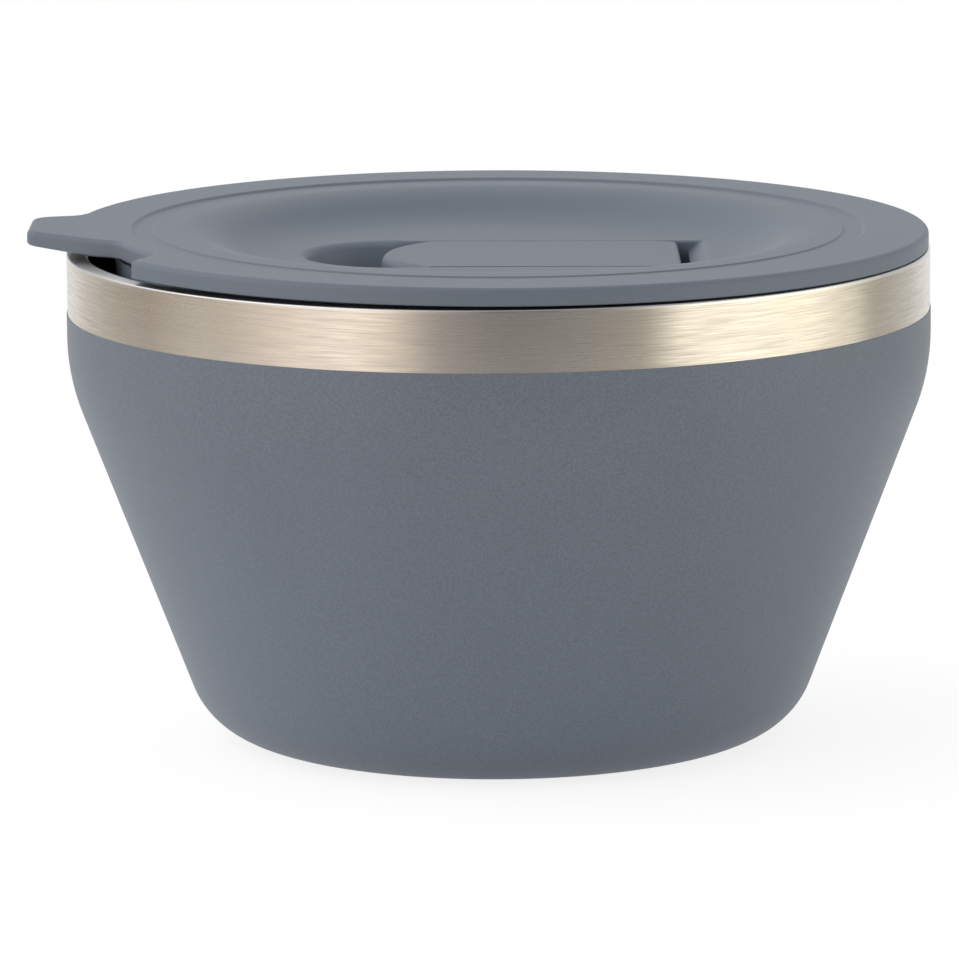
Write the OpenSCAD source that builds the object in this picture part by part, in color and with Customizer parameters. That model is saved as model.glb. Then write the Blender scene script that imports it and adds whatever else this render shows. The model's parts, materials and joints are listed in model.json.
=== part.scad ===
// Insulated stainless bowl with a lift-off lid and a hinged vent flap.
// Millimetres. The origin is on the bowl's axis, on the plane that the bowl stands on.
// +Z is up, -Y is the front, and the lid's pull tab points to -X.

/* [Bowl] */
// Outside diameter of the straight upper wall
bowl_d = 152; // [144:1:170]
// Height of the rim above the table
bowl_h = 86.5; // [80:0.5:100]
// Height of the straight wall below the rim
straight_h = 14.7; // [14:0.1:18]
// Radius of the shoulder between the straight wall and the taper
shoulder_r = 37.5; // [26:0.5:44]
// Radius of the corner between the taper and the base
corner_r = 14.3; // [8:0.1:20]
// Diameter of the flat that meets the corner
base_d = 83; // [72:1:96]
// Width of the bare ring that the bowl stands on
foot_w = 5; // [3:0.5:8]
// Height of the bare steel band below the rim
band_h = 10.6; // [6:0.1:13]

/* [Bowl walls] */
// Thickness of the powder coat
coat_t = 0.15; // [0.1:0.05:0.3]
// Thickness of the outer shell sheet
shell_t = 0.6; // [0.4:0.1:0.8]
// Width of the evacuated space between the walls
vacuum_gap = 2.65; // [2:0.05:4]
// Thickness of the liner sheet
liner_t = 0.6; // [0.4:0.1:0.8]
// Height of the liner's floor, on the food side
floor_h = 9; // [8.5:0.5:14]
// Radius of the corner between the liner's floor and its wall
liner_corner_r = 11; // [6:0.5:16]
// Radius of the rim's outer edge
rim_edge_r = 0.3; // [0.2:0.05:0.4]
// Radius of the rim's inner edge
rim_inner_r = 1.2; // [0.8:0.1:1.6]

/* [Base] */
// Height of the lip that turns up inside the foot ring
lip_h = 3.2; // [2.8:0.1:4.5]
// Thickness of the plate that closes the vacuum space
plate_t = 0.6; // [0.4:0.1:0.8]
// Recess of the base cover above the table
cover_recess = 0.25; // [0.1:0.05:0.3]
// Thickness of the base cover
cover_t = 0.5; // [0.4:0.1:0.8]
// Clearance around the base cover
cover_gap = 0.1; // [0.05:0.05:0.3]
// Diameter of the dimple around the pump-out port
dimple_d = 8; // [6:0.5:12]
// Height of the dimple above the underside of the plate
dimple_h = 1.4; // [1.2:0.1:2]
// Diameter of the pump-out port
port_d = 1.8; // [1:0.1:3]
// Recess of the seal bead in the dimple
bead_recess = 0.1; // [0.05:0.05:0.3]
// Diameter of the getter's cup
getter_d = 12; // [8:0.5:16]
// Height of the getter's cup
getter_h = 2.6; // [2:0.1:3]
// Thickness of the getter cup's wall and floor
getter_wall = 0.4; // [0.3:0.1:0.6]
// Thickness of the getter pellet
pellet_t = 1.6; // [1:0.1:1.6]
// Distance from the lip inside the foot ring to the middle of the getter's cup
getter_inset = 16.5; // [12:0.5:20]

/* [Lid] */
// Inset of the flange's edge from the bowl's straight wall
lid_inset = 0.4; // [0:0.1:1]
// Thickness of the flange
lid_t = 3.1; // [2.6:0.1:4]
// Radius of the flange's top edge
lid_edge_r = 0.9; // [0.4:0.1:1.2]
// Radius of the flange's bottom edge
lid_under_r = 0.4; // [0.2:0.1:0.8]
// Tilt that leaves the lid ajar at the pull tab, in degrees
lid_tilt = 0.35; // [0:0.05:0.5]
// Clearance between the rim and the lid where the lid rests
rest_gap = 0.05; // [0.05:0.05:0.4]
// Distance from the flange's edge in to the groove
groove_in = 11.4; // [10:0.1:12]
// Width of the groove
groove_w = 3.5; // [2:0.1:4.5]
// Depth of the groove
groove_depth = 0.6; // [0.3:0.1:0.9]
// Drop from the flange's top to the raised ring inside the groove
ring_drop = 0.2; // [0:0.05:0.3]
// Width of the raised ring between the groove and the slope into the dish
ring_w = 3.7; // [2:0.1:6]
// Diameter of the dish's flat floor
dish_floor_d = 77.4; // [77:0.1:90]
// Depth of the dish below the flange's top
dish_depth = 5; // [4:0.1:6]
// Length of the straight in the middle of the dish's slope
slope_straight = 1.7; // [0.8:0.1:4]
// Thickness of the lid's wall under the dish
lid_wall = 2.4; // [2:0.1:2.8]
// Gap between the liner and the skirt, which the gasket fills
skirt_gap = 4.7; // [4.2:0.1:5]
// Thickness of the skirt
skirt_t = 2.2; // [1.8:0.1:3]
// Depth of the skirt below the flange
skirt_h = 11; // [10:0.1:12]
// Reach of the two ribs that hold the gasket
rib_w = 2.3; // [1.5:0.1:2.8]
// Thickness of each rib
rib_t = 1; // [0.8:0.1:1.3]
// Height of the channel between the ribs
channel_h = 2.4; // [2:0.1:3.2]

/* [Pull tab] */
// Reach of the tab beyond the flange
tab_len = 6.8; // [5:0.2:14]
// Width across the tab's tip before its corners are rounded
tab_tip_w = 18.4; // [16:0.2:20]
// Angle of each side of the tab, in degrees
tab_taper = 30.6; // [26:0.2:36]
// Radius of the tab's tip corners
tab_corner_r = 4; // [2:0.2:5]
// Radius that blends the tab's back side into the flange
tab_blend_r = 5; // [3:0.2:8]
// Rise of the tab's tip above the flange's top
tab_lift = 0.45; // [0:0.05:1]
// Thickness of the tab at its tip
tab_tip_t = 2.5; // [2:0.1:2.9]
// Distance from the flange's edge to the line where the tab starts to rise
tab_root = 5; // [4:0.5:6]
// Land left between the skirt and the notch beside the tab
notch_land = 1.3; // [1:0.1:2]
// Angle from the tab's centre line to the inner end of the notch's far side, in degrees
notch_turn = 30; // [27:0.2:31]
// Angle from the tab's centre line to the outer end of the notch's far side, in degrees
notch_end = 34; // [33:0.2:38]

/* [Vent flap] */
// Width of the flap
flap_w = 31.3; // [30:0.1:32]
// Length of the flap
flap_len = 52.5; // [50:0.5:54]
// Distance from the lid's axis to the flap's hinged end
flap_end = 32; // [31:0.1:33]
// Thickness of the flap's plate
flap_t = 2.4; // [2:0.1:2.6]
// Radius of the flap's nose, seen from above
nose_r = 21.5; // [18:0.5:26]
// Radius that rolls the top of the nose down
nose_roll_r = 1.6; // [1:0.1:1.8]
// Depth of the lip under the nose, from the flap's top
nose_lip_h = 4; // [3:0.1:4.2]
// Width of that lip
nose_lip_w = 2; // [1.5:0.1:3]
// Gap around the flap
flap_gap = 0.35; // [0.3:0.05:0.6]
// Diameter of the flap's barrel
barrel_d = 4.4; // [4:0.1:5]
// Distance from the flap's hinged end to the pin's axis
hinge_in = 3.5; // [3:0.1:4]
// Distance from the flap's top to the pin's axis
hinge_drop = 2.8; // [2.6:0.1:3]
// Diameter of the hinge pin
pin_d = 2; // [1.6:0.1:2.4]
// Radial clearance of the pin in the lid
pin_clear = 0.05; // [0.03:0.01:0.1]
// Length of each pin end inside the lid
pin_hold = 2.5; // [1.5:0.1:2.8]
// Clearance at each end of the pin
pin_end_gap = 0.3; // [0.3:0.1:0.6]

/* [Vent pocket] */
// Depth of the pocket below the dish's floor
pocket_depth = 7; // [6.9:0.1:8]
// Thickness of the pocket's walls and floor
pocket_wall = 2; // [1.6:0.1:2.4]
// Distance from the lid's axis to the centre of the finger scoop
scoop_offset = 18; // [17:0.1:19]
// Distance by which the scoop narrows from the dish's floor down to the pocket's floor
scoop_draft = 3; // [2:0.1:4]
// Gap behind the flap, level with the dish's floor
ramp_top_gap = 4.7; // [3.5:0.1:5]
// Gap behind the flap, below the ramp
ramp_foot_gap = 2; // [1.6:0.1:2.6]
// Height of the ramp behind the flap
ramp_h = 2.3; // [1.5:0.1:3]
// Diameter of the bosses around the pin's ends
boss_d = 5; // [4.6:0.1:5.2]
// Reach of the bosses beyond the pocket's sides
boss_l = 2; // [1.8:0.1:3]
// Distance from the lid's axis to the vent hole, towards the tab
vent_offset = 4; // [0:0.5:8]
// Diameter of the vent hole
vent_d = 7.2; // [5:0.1:8]
// Wall of the collar around the vent hole
collar_wall = 1.9; // [1.4:0.1:2.4]
// Height of that collar above the pocket's floor
collar_h = 1.6; // [1:0.1:2]

/* [Seals] */
// Clearance between the gasket's relaxed lips and the liner
lip_gap = 0.4; // [0.3:0.1:0.8]
// Thickness of the gasket's ring
gasket_t = 2; // [1.6:0.1:2.6]
// Clearance between the gasket and the ribs
gasket_gap = 0.05; // [0.03:0.01:0.2]
// Thickness of a gasket lip at its root
lip_root_t = 0.9; // [0.6:0.1:1]
// Thickness of a gasket lip at its edge
lip_edge_t = 0.5; // [0.3:0.1:0.6]
// Rise of a gasket lip from its root to its edge
lip_rise = 0.5; // [0.2:0.1:0.6]
// Overhang of the vent plug's head beyond the vent hole
plug_lap = 1.8; // [1.2:0.1:2.2]
// Thickness of the vent plug's head
plug_head_t = 1.5; // [1.2:0.1:1.7]
// Clearance of the closed vent plug
plug_gap = 0.3; // [0.3:0.05:0.5]
// Height of the vent plug's tapered end
plug_nose_h = 1.5; // [1:0.1:1.7]
// Inset of the vent plug's end from the vent hole
plug_nose_in = 1.2; // [0.8:0.1:1.6]
// Diameter of the stud that carries the vent plug
stud_d = 3.6; // [2.5:0.1:4]
// Overlap of the stud with the plug's tapered end
stud_in = 0.4; // [0.2:0.1:0.8]

/* [Hidden] */
$fn = 144;
// Overrun of every cut
cut = 1;

coat_colour = "#6a737d";
lid_colour = "#7f8790";
seal_colour = "#4a4f55";

bowl_r = bowl_d / 2;
base_r = base_d / 2;
foot_r = base_r - foot_w;
steel_in = coat_t;
shell_in = steel_in + shell_t;
liner_out = shell_in + vacuum_gap;
liner_in = liner_out + liner_t;
steel_r = bowl_r - steel_in;
liner_out_r = bowl_r - liner_out;
liner_in_r = bowl_r - liner_in;
coat_top = bowl_h - band_h;
// Height at which the liner's rim lies on the edge of the outer shell
rim_low = bowl_h - liner_t;

// Centre of the shoulder's arc, and the taper that touches both the shoulder and the corner
shoulder_c = [bowl_r - shoulder_r, bowl_h - straight_h];
centre_run = [base_r - shoulder_c[0], shoulder_c[1] - corner_r];
taper = asin((shoulder_r - corner_r) / norm(centre_run)) - atan2(centre_run[0], centre_run[1]);
across = [cos(taper), -sin(taper)];
down = [-sin(taper), -cos(taper)];

plate_z = lip_h - plate_t;
cover_top = cover_recess + cover_t;
getter_in_d = getter_d - getter_wall * 2;
getter_x = foot_r - getter_inset;

lid_r = bowl_r - lid_inset;
groove_r = lid_r - groove_in;
ring_z = lid_t - ring_drop;
ring_r = groove_r - groove_w;
dish_r = ring_r - ring_w;
dish_floor_r = dish_floor_d / 2;
dish_z = lid_t - dish_depth;
dish_drop = ring_z - dish_z;
dish_run = dish_r - dish_floor_r;
// Two equal arcs and the straight between them make the slope of the dish
slope_turn = atan(dish_drop / (dish_run + slope_straight)) * 2;
slope_r = (dish_run * sin(slope_turn) - dish_drop * cos(slope_turn)) / (2 - cos(slope_turn) * 2);
convex_c = [dish_r, ring_z - slope_r];
concave_c = [dish_floor_r, dish_z + slope_r];
skirt_r = liner_in_r - skirt_gap;
skirt_in_r = skirt_r - skirt_t;
rib_r = skirt_r + rib_w;
low_rib_top = rib_t - skirt_h;
high_rib_low = low_rib_top + channel_h;
// Height of the lid's underside at its centre when the far side of the tilted lid rests on the rim
lid_z = bowl_h + rest_gap + tan(lid_tilt) * lid_r;

tab_tip = lid_r + tab_len;
tab_side = [cos(tab_taper), sin(tab_taper)];
tab_normal = [-sin(tab_taper), cos(tab_taper)];
tab_half = tab_tip_w / 2;
tab_start = [-tab_tip, tab_half];
corner_c = [tab_corner_r - tab_tip,
            tab_half + tab_corner_r * tan(tab_taper) - tab_corner_r / cos(tab_taper)];
// Centre of the blend circle, which touches the tab's side and the flange's edge
blend_from = tab_start + tab_blend_r * tab_normal;
blend_along = blend_from * tab_side;
blend_reach = (lid_r + tab_blend_r) * (lid_r + tab_blend_r) - blend_from * blend_from;
blend_t = -blend_along - sqrt(blend_along * blend_along + blend_reach);
blend_c = blend_from + blend_t * tab_side;
blend_on_side = blend_c - tab_blend_r * tab_normal;
blend_on_edge = blend_c * lid_r / (lid_r + tab_blend_r);
notch_r = skirt_r + notch_land;

flap_top = dish_z;
flap_low = flap_top - flap_t;
flap_half = flap_w / 2;
nose_x = flap_end - flap_len + nose_r;
pocket_half = flap_half + flap_gap;
pocket_z = dish_z - pocket_depth;
scoop_low_r = pocket_half - scoop_draft;
scoop_slope = scoop_draft / pocket_depth;
hinge_x = flap_end - hinge_in;
hinge_z = flap_top - hinge_drop;
ramp_top_x = flap_end + ramp_top_gap;
ramp_foot_x = flap_end + ramp_foot_gap;
pocket_out = pocket_half + pocket_wall;
pin_half = pocket_half + pin_hold;
bore_half = pin_half + pin_end_gap;
vent_r = vent_d / 2;
collar_top = pocket_z + collar_h;
plug_low = collar_top + plug_gap;
plug_top = plug_low + plug_head_t;
plug_head_r = vent_r + plug_lap;

gasket_low = low_rib_top + gasket_gap;
gasket_top = high_rib_low - gasket_gap;
gasket_ring_r = skirt_r + gasket_t;
gasket_r = liner_in_r - lip_gap;

// A slice of a disc between two angles less than a right angle apart
module slice(r, from, to) {
    reach = r * 2;
    middle = (from + to) / 2;
    intersection() {
        circle(r);
        polygon([[0, 0], reach * [cos(from), sin(from)], reach * [cos(middle), sin(middle)],
                 reach * [cos(to), sin(to)]]);
    }
}

// A rectangle in the plane of a revolved outline, from one corner to the other
module band(r0, z0, r1, z1) {
    translate([r0, z0]) square([r1 - r0, z1 - z0]);
}

// Half outline of the bowl at a depth below its outside, with its own floor, corner and top
module bowl_outline(depth, floor_z, corner, top) {
    arc = shoulder_r - depth;
    upper = shoulder_c + arc * across;
    inner = upper - corner * across;
    centre = inner + ((inner[1] - floor_z - corner) / cos(taper)) * down;
    polygon([[0, floor_z], [centre[0], floor_z], centre + corner * across, upper,
             [bowl_r - depth, shoulder_c[1]], [bowl_r - depth, top], [0, top]]);
    translate(centre) slice(corner, -90, -taper);
    translate(shoulder_c) slice(arc, -taper, 0);
}

module outer_shell() {
    color("silver") rotate_extrude() {
        difference() {
            bowl_outline(steel_in, steel_in, corner_r - steel_in, rim_low);
            bowl_outline(shell_in, shell_in, corner_r - shell_in, bowl_h);
            band(0, -cut, foot_r, lip_h);
        }
        band(foot_r, 0, base_r, steel_in);
        band(foot_r, shell_in, foot_r + shell_t, lip_h);
    }
}

module powder_coat() {
    color(coat_colour) rotate_extrude() difference() {
        bowl_outline(0, 0, corner_r, coat_top);
        bowl_outline(steel_in, steel_in, corner_r - steel_in, bowl_h);
        band(0, -cut, base_r, shell_in);
    }
}

// The liner ends in the flat rim that closes the gap to the outer shell
module inner_liner() {
    color("gainsboro") rotate_extrude() difference() {
        union() {
            bowl_outline(liner_out, floor_h - liner_t, liner_corner_r + liner_t, rim_low);
            band(0, rim_low, steel_r, bowl_h - rim_edge_r);
            band(0, bowl_h - rim_edge_r, steel_r - rim_edge_r, bowl_h);
            translate([steel_r - rim_edge_r, bowl_h - rim_edge_r]) slice(rim_edge_r, 0, 90);
        }
        bowl_outline(liner_in, floor_h, liner_corner_r, bowl_h - rim_inner_r);
        difference() {
            band(0, bowl_h - rim_inner_r, liner_in_r + rim_inner_r, bowl_h + cut);
            translate([liner_in_r + rim_inner_r, bowl_h - rim_inner_r]) slice(rim_inner_r, 90, 180);
        }
    }
}

// Plate that closes the vacuum space, with a dimple around the port through which it is pumped out
module base_plate() {
    dimple_r = dimple_d / 2;
    color("darkgray") rotate_extrude() {
        band(dimple_r, plate_z, foot_r, lip_h);
        band(foot_r - plate_t, cover_top, foot_r, plate_z);
        band(dimple_r, lip_h, dimple_r + plate_t, plate_z + dimple_h);
        band(port_d / 2, plate_z + dimple_h - plate_t, dimple_r, plate_z + dimple_h);
    }
}

module port_seal_bead() {
    color("darkslategray") rotate_extrude() {
        band(0, plate_z + bead_recess, dimple_d / 2, plate_z + dimple_h - plate_t);
        band(0, plate_z + dimple_h - plate_t, port_d / 2, plate_z + dimple_h);
    }
}

module getter_cup() {
    color("lightgray") translate([getter_x, 0, lip_h]) difference() {
        cylinder(h = getter_h, d = getter_d);
        translate([0, 0, getter_wall]) cylinder(h = getter_h, d = getter_in_d);
    }
}

module getter_pellet() {
    color("dimgray") translate([getter_x, 0, lip_h + getter_wall])
        cylinder(h = pellet_t, d = getter_in_d);
}

module base_cover() {
    color("silver") translate([0, 0, cover_recess]) cylinder(h = cover_t, r = foot_r - cover_gap);
}

// Half section of the lid: flange, groove, raised ring, dish and the skirt with its two ribs
module lid_section() {
    edge_z = lid_t - lid_edge_r;
    edge_r = lid_r - lid_edge_r;
    under_r = lid_r - lid_under_r;
    difference() {
        union() {
            dish();
            band(skirt_in_r, 0, under_r, edge_z);
            band(skirt_in_r, edge_z, edge_r, lid_t);
            band(under_r, lid_under_r, lid_r, edge_z);
            translate([edge_r, edge_z]) slice(lid_edge_r, 0, 90);
            translate([under_r, lid_under_r]) slice(lid_under_r, -90, 0);
            band(skirt_in_r, -skirt_h, skirt_r, 0);
            band(skirt_r, -skirt_h, rib_r, low_rib_top);
            band(skirt_r, high_rib_low, rib_r, high_rib_low + rib_t);
            band(ring_r, ring_z - lid_wall, skirt_in_r, lid_t);
        }
        band(ring_r, lid_t - groove_depth, groove_r, lid_t + cut);
    }
}

// The raised ring, the dish's floor and the slope that joins them
module dish() {
    difference() {
        below_dish(0);
        below_dish(lid_wall);
    }
}

// All that lies below the dish's surface at a depth under it
module below_dish(depth) {
    bottom = convex_c[1] - slope_r;
    rise = [sin(slope_turn), -cos(slope_turn)];
    difference() {
        union() {
            polygon([[0, bottom], [0, dish_z - depth], [dish_floor_r, dish_z - depth],
                     concave_c + (slope_r + depth) * rise, convex_c - (slope_r - depth) * rise,
                     [dish_r, ring_z - depth], [skirt_in_r, ring_z - depth], [skirt_in_r, bottom]]);
            translate(convex_c) slice(slope_r - depth, 90, 90 + slope_turn);
        }
        translate(concave_c) slice(slope_r + depth, -90, slope_turn - 90);
    }
}

// Plan of the pull tab, with its back side blended into the flange
module tab_plan() {
    root = tab_at(skirt_in_r);
    side_touch = corner_c + tab_corner_r * tab_normal;
    polygon([root, [side_touch[0], -side_touch[1]], [-tab_tip, -corner_c[1]], [-tab_tip, corner_c[1]],
             side_touch, [root[0], -root[1]]]);
    translate(corner_c) slice(tab_corner_r, 90 + tab_taper, 180);
    mirror([0, 1]) translate(corner_c) slice(tab_corner_r, 90 + tab_taper, 180);
    difference() {
        polygon([blend_on_side, blend_c, blend_on_edge, [root[0], 0]]);
        translate(blend_c) circle(tab_blend_r);
    }
}

// The tab rises a little towards its tip and gets thinner
module tab() {
    rise_x = lid_r - tab_root;
    far_x = tab_tip + cut;
    growth = (far_x - rise_x) / (tab_tip - rise_x);
    intersection() {
        translate([0, 0, -cut]) linear_extrude(lid_t + tab_lift + cut * 2) tab_plan();
        rotate([90, 0, 0]) linear_extrude(bowl_d, center = true)
            polygon([[-skirt_in_r, 0], [-skirt_in_r, lid_t], [-rise_x, lid_t],
                     [-far_x, lid_t + tab_lift * growth],
                     [-far_x, (lid_t + tab_lift - tab_tip_t) * growth], [-rise_x, 0]]);
    }
}

// Plan of the notch between the front side of the tab and a straight line across the flange
module notch_plan() {
    far = tab_tip * 2;
    difference() {
        polygon([tab_at(skirt_in_r) + [0, cut], tab_at(tab_tip) + [0, cut], [-far, -tab_half],
                 [-far, -far], [-lid_r * cos(notch_end), -far],
                 lid_r * [-cos(notch_end), -sin(notch_end)],
                 notch_r * [-cos(notch_turn), -sin(notch_turn)],
                 skirt_in_r * [-cos(notch_turn), -sin(notch_turn)]]);
        circle(notch_r);
    }
}

// Point on the front side of the tab at a distance from the lid's axis
function tab_at(x) = [-x, -tab_half - (tab_tip - x) * tan(tab_taper)];

// Solid inside the pocket and the finger scoop, grown by a wall
module pocket_space(wall, top) {
    half = pocket_half + wall;
    low = pocket_z - wall;
    intersection() {
        translate([nose_x, 0, low]) cylinder(h = top - low, r = nose_r + flap_gap + wall);
        translate([nose_x - nose_r * 2, -half, low]) cube([nose_r * 2, half * 2, top - low]);
    }
    translate([nose_x, -half, low]) cube([ramp_foot_x + wall - nose_x, half * 2, top - low]);
    translate([-scoop_offset, 0, low])
        cylinder(h = top - low, r1 = scoop_low_r + wall - wall * scoop_slope,
                 r2 = scoop_low_r + wall + (top - pocket_z) * scoop_slope);
}

// The ramp behind the flap, grown by a wall
module ramp_space(wall, top) {
    half = pocket_half + wall;
    foot_z = dish_z - ramp_h - wall;
    rotate([90, 0, 0]) linear_extrude(half * 2, center = true)
        polygon([[flap_end, foot_z], [ramp_foot_x + wall, foot_z], [ramp_top_x + wall, dish_z - wall],
                 [ramp_top_x + wall, top], [flap_end, top]]);
}

module lid_body() {
    color(lid_colour) lid_place() difference() {
        union() {
            difference() {
                closed_lid();
                pocket_space(0, dish_z + cut);
                ramp_space(0, dish_z + cut);
                hinge_rod(pin_d + pin_clear * 2, bore_half);
            }
            vent_column(vent_r + collar_wall, pocket_z - pocket_wall, collar_top);
        }
        vent_column(vent_r, pocket_z - pocket_wall - cut, collar_top + cut);
    }
}

// The lid with the tab, the notch and the pocket's outside, before the pocket is hollowed
module closed_lid() {
    difference() {
        rotate_extrude() lid_section();
        translate([0, 0, -cut]) linear_extrude(lid_t + cut * 2) notch_plan();
    }
    tab();
    pocket_space(pocket_wall, dish_z);
    ramp_space(pocket_wall, dish_z);
    hinge_rod(boss_d, pocket_out + boss_l);
}

// A bar along the hinge's axis, centred on the flap
module hinge_rod(d, half) {
    translate([hinge_x, 0, hinge_z]) rotate([90, 0, 0]) cylinder(h = half * 2, d = d, center = true);
}

// An upright cylinder over the vent
module vent_column(r, low, top) {
    translate([-vent_offset, 0, low]) cylinder(h = top - low, r = r);
}

module lid_gasket() {
    color(seal_colour) lid_place() rotate_extrude() {
        band(skirt_r, gasket_low, gasket_ring_r, gasket_top);
        for (z = [gasket_low, gasket_top - lip_root_t])
            translate([0, z])
                polygon([[gasket_ring_r, 0], [gasket_r, lip_rise], [gasket_r, lip_rise + lip_edge_t],
                         [gasket_ring_r, lip_root_t]]);
    }
}

// Half section of the flap's nose, from its centre to the rolled edge and the lip below it
module nose_section() {
    roll_r = nose_r - nose_roll_r;
    band(0, flap_low, roll_r, flap_top);
    band(roll_r, flap_top - nose_lip_h, nose_r, flap_top - nose_roll_r);
    band(nose_r - nose_lip_w, flap_top - nose_lip_h, roll_r, flap_low);
    translate([roll_r, flap_top - nose_roll_r]) slice(nose_roll_r, 0, 90);
}

module vent_flap() {
    color(lid_colour) lid_place() difference() {
        union() {
            intersection() {
                translate([nose_x, 0, 0]) rotate_extrude() nose_section();
                translate([nose_x - nose_r - cut, -flap_half, pocket_z])
                    cube([nose_r + cut, flap_w, pocket_depth + cut]);
            }
            translate([nose_x, -flap_half, flap_low]) cube([flap_end - nose_x, flap_w, flap_t]);
            hinge_rod(barrel_d, flap_half);
            vent_column(plug_head_r, plug_top, flap_low);
            vent_column(stud_d / 2, plug_low - stud_in, plug_top);
        }
        hinge_rod(pin_d, flap_half + cut);
    }
}

module flap_pin() {
    color("silver") lid_place() hinge_rod(pin_d, pin_half);
}

// The plug covers the collar and dips into the vent hole
module vent_plug() {
    nose_low = plug_low - plug_nose_h;
    color(seal_colour) lid_place() difference() {
        union() {
            vent_column(plug_head_r, plug_low, plug_top);
            translate([-vent_offset, 0, nose_low])
                cylinder(h = plug_nose_h, r1 = vent_r - plug_nose_in, r2 = vent_r - plug_gap * 2);
        }
        vent_column(stud_d / 2, plug_low - stud_in, plug_top + cut);
    }
}

// Puts a piece of the lid, drawn about the centre of the flange's underside, on the bowl
module lid_place() {
    translate([0, 0, lid_z]) rotate([0, lid_tilt, 0]) children();
}

outer_shell();
powder_coat();
inner_liner();
base_plate();
port_seal_bead();
getter_cup();
getter_pellet();
base_cover();
lid_body();
lid_gasket();
vent_flap();
flap_pin();
vent_plug();
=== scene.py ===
"""Looks for the insulated stainless bowl with a lid.

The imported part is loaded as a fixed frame. Turned and moulded pieces with rounded edges, brushed steel,
powder coat and moulded plastic are then built around it. Pieces are modelled in millimetres and
finished in metres.
"""

from __future__ import annotations

import json
import logging
import math
from collections.abc import Callable, Sequence
from dataclasses import dataclass, field
from enum import Enum
from typing import Self

import bmesh
import bpy
from mathutils import Matrix, Vector

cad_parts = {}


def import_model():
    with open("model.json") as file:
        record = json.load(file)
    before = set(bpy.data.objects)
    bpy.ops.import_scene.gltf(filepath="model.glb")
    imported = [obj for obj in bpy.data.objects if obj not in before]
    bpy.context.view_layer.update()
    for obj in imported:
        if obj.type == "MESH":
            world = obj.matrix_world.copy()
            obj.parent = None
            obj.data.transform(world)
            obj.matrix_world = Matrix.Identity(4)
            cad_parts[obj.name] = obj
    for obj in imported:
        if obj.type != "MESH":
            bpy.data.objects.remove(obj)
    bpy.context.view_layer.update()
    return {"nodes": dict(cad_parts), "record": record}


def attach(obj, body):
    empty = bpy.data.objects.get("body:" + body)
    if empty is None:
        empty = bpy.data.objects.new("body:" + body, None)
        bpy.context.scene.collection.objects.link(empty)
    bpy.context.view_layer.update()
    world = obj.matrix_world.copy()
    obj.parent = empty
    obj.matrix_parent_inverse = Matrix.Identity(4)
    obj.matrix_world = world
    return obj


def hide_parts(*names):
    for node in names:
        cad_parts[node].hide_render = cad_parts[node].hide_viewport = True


LOG = logging.getLogger("bowl")
METRES_PER_MM = 0.001
MERGE_GAP = 1e-5
NOISE_SPAN = (0.3, 0.7)
Colour = tuple[float, float, float]
Point = tuple[float, float]
Panel = tuple[float, Colour]
Socket = bpy.types.NodeSocket


def grey(level: float) -> Colour:
    """Gives a grey colour."""
    return level, level, level


class Slot(Enum):
    """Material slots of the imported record."""

    BAND = "brushed_band"
    POLISHED = "liner_steel"
    COAT = "powder_coat"
    LID = "lid_plastic"
    SILICONE = "silicone"
    BEAD = "seal_bead"
    GETTER = "getter"


class Body(Enum):
    """Bodies that the pieces ride on."""

    BOWL = "bowl"
    LID = "lid"
    FLAP = "flap"


class Joining(Enum):
    """Ways to combine two closed solids."""

    ADD = "UNION"
    CUT = "DIFFERENCE"


# ---------------------------------------------------------------- finishes


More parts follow.
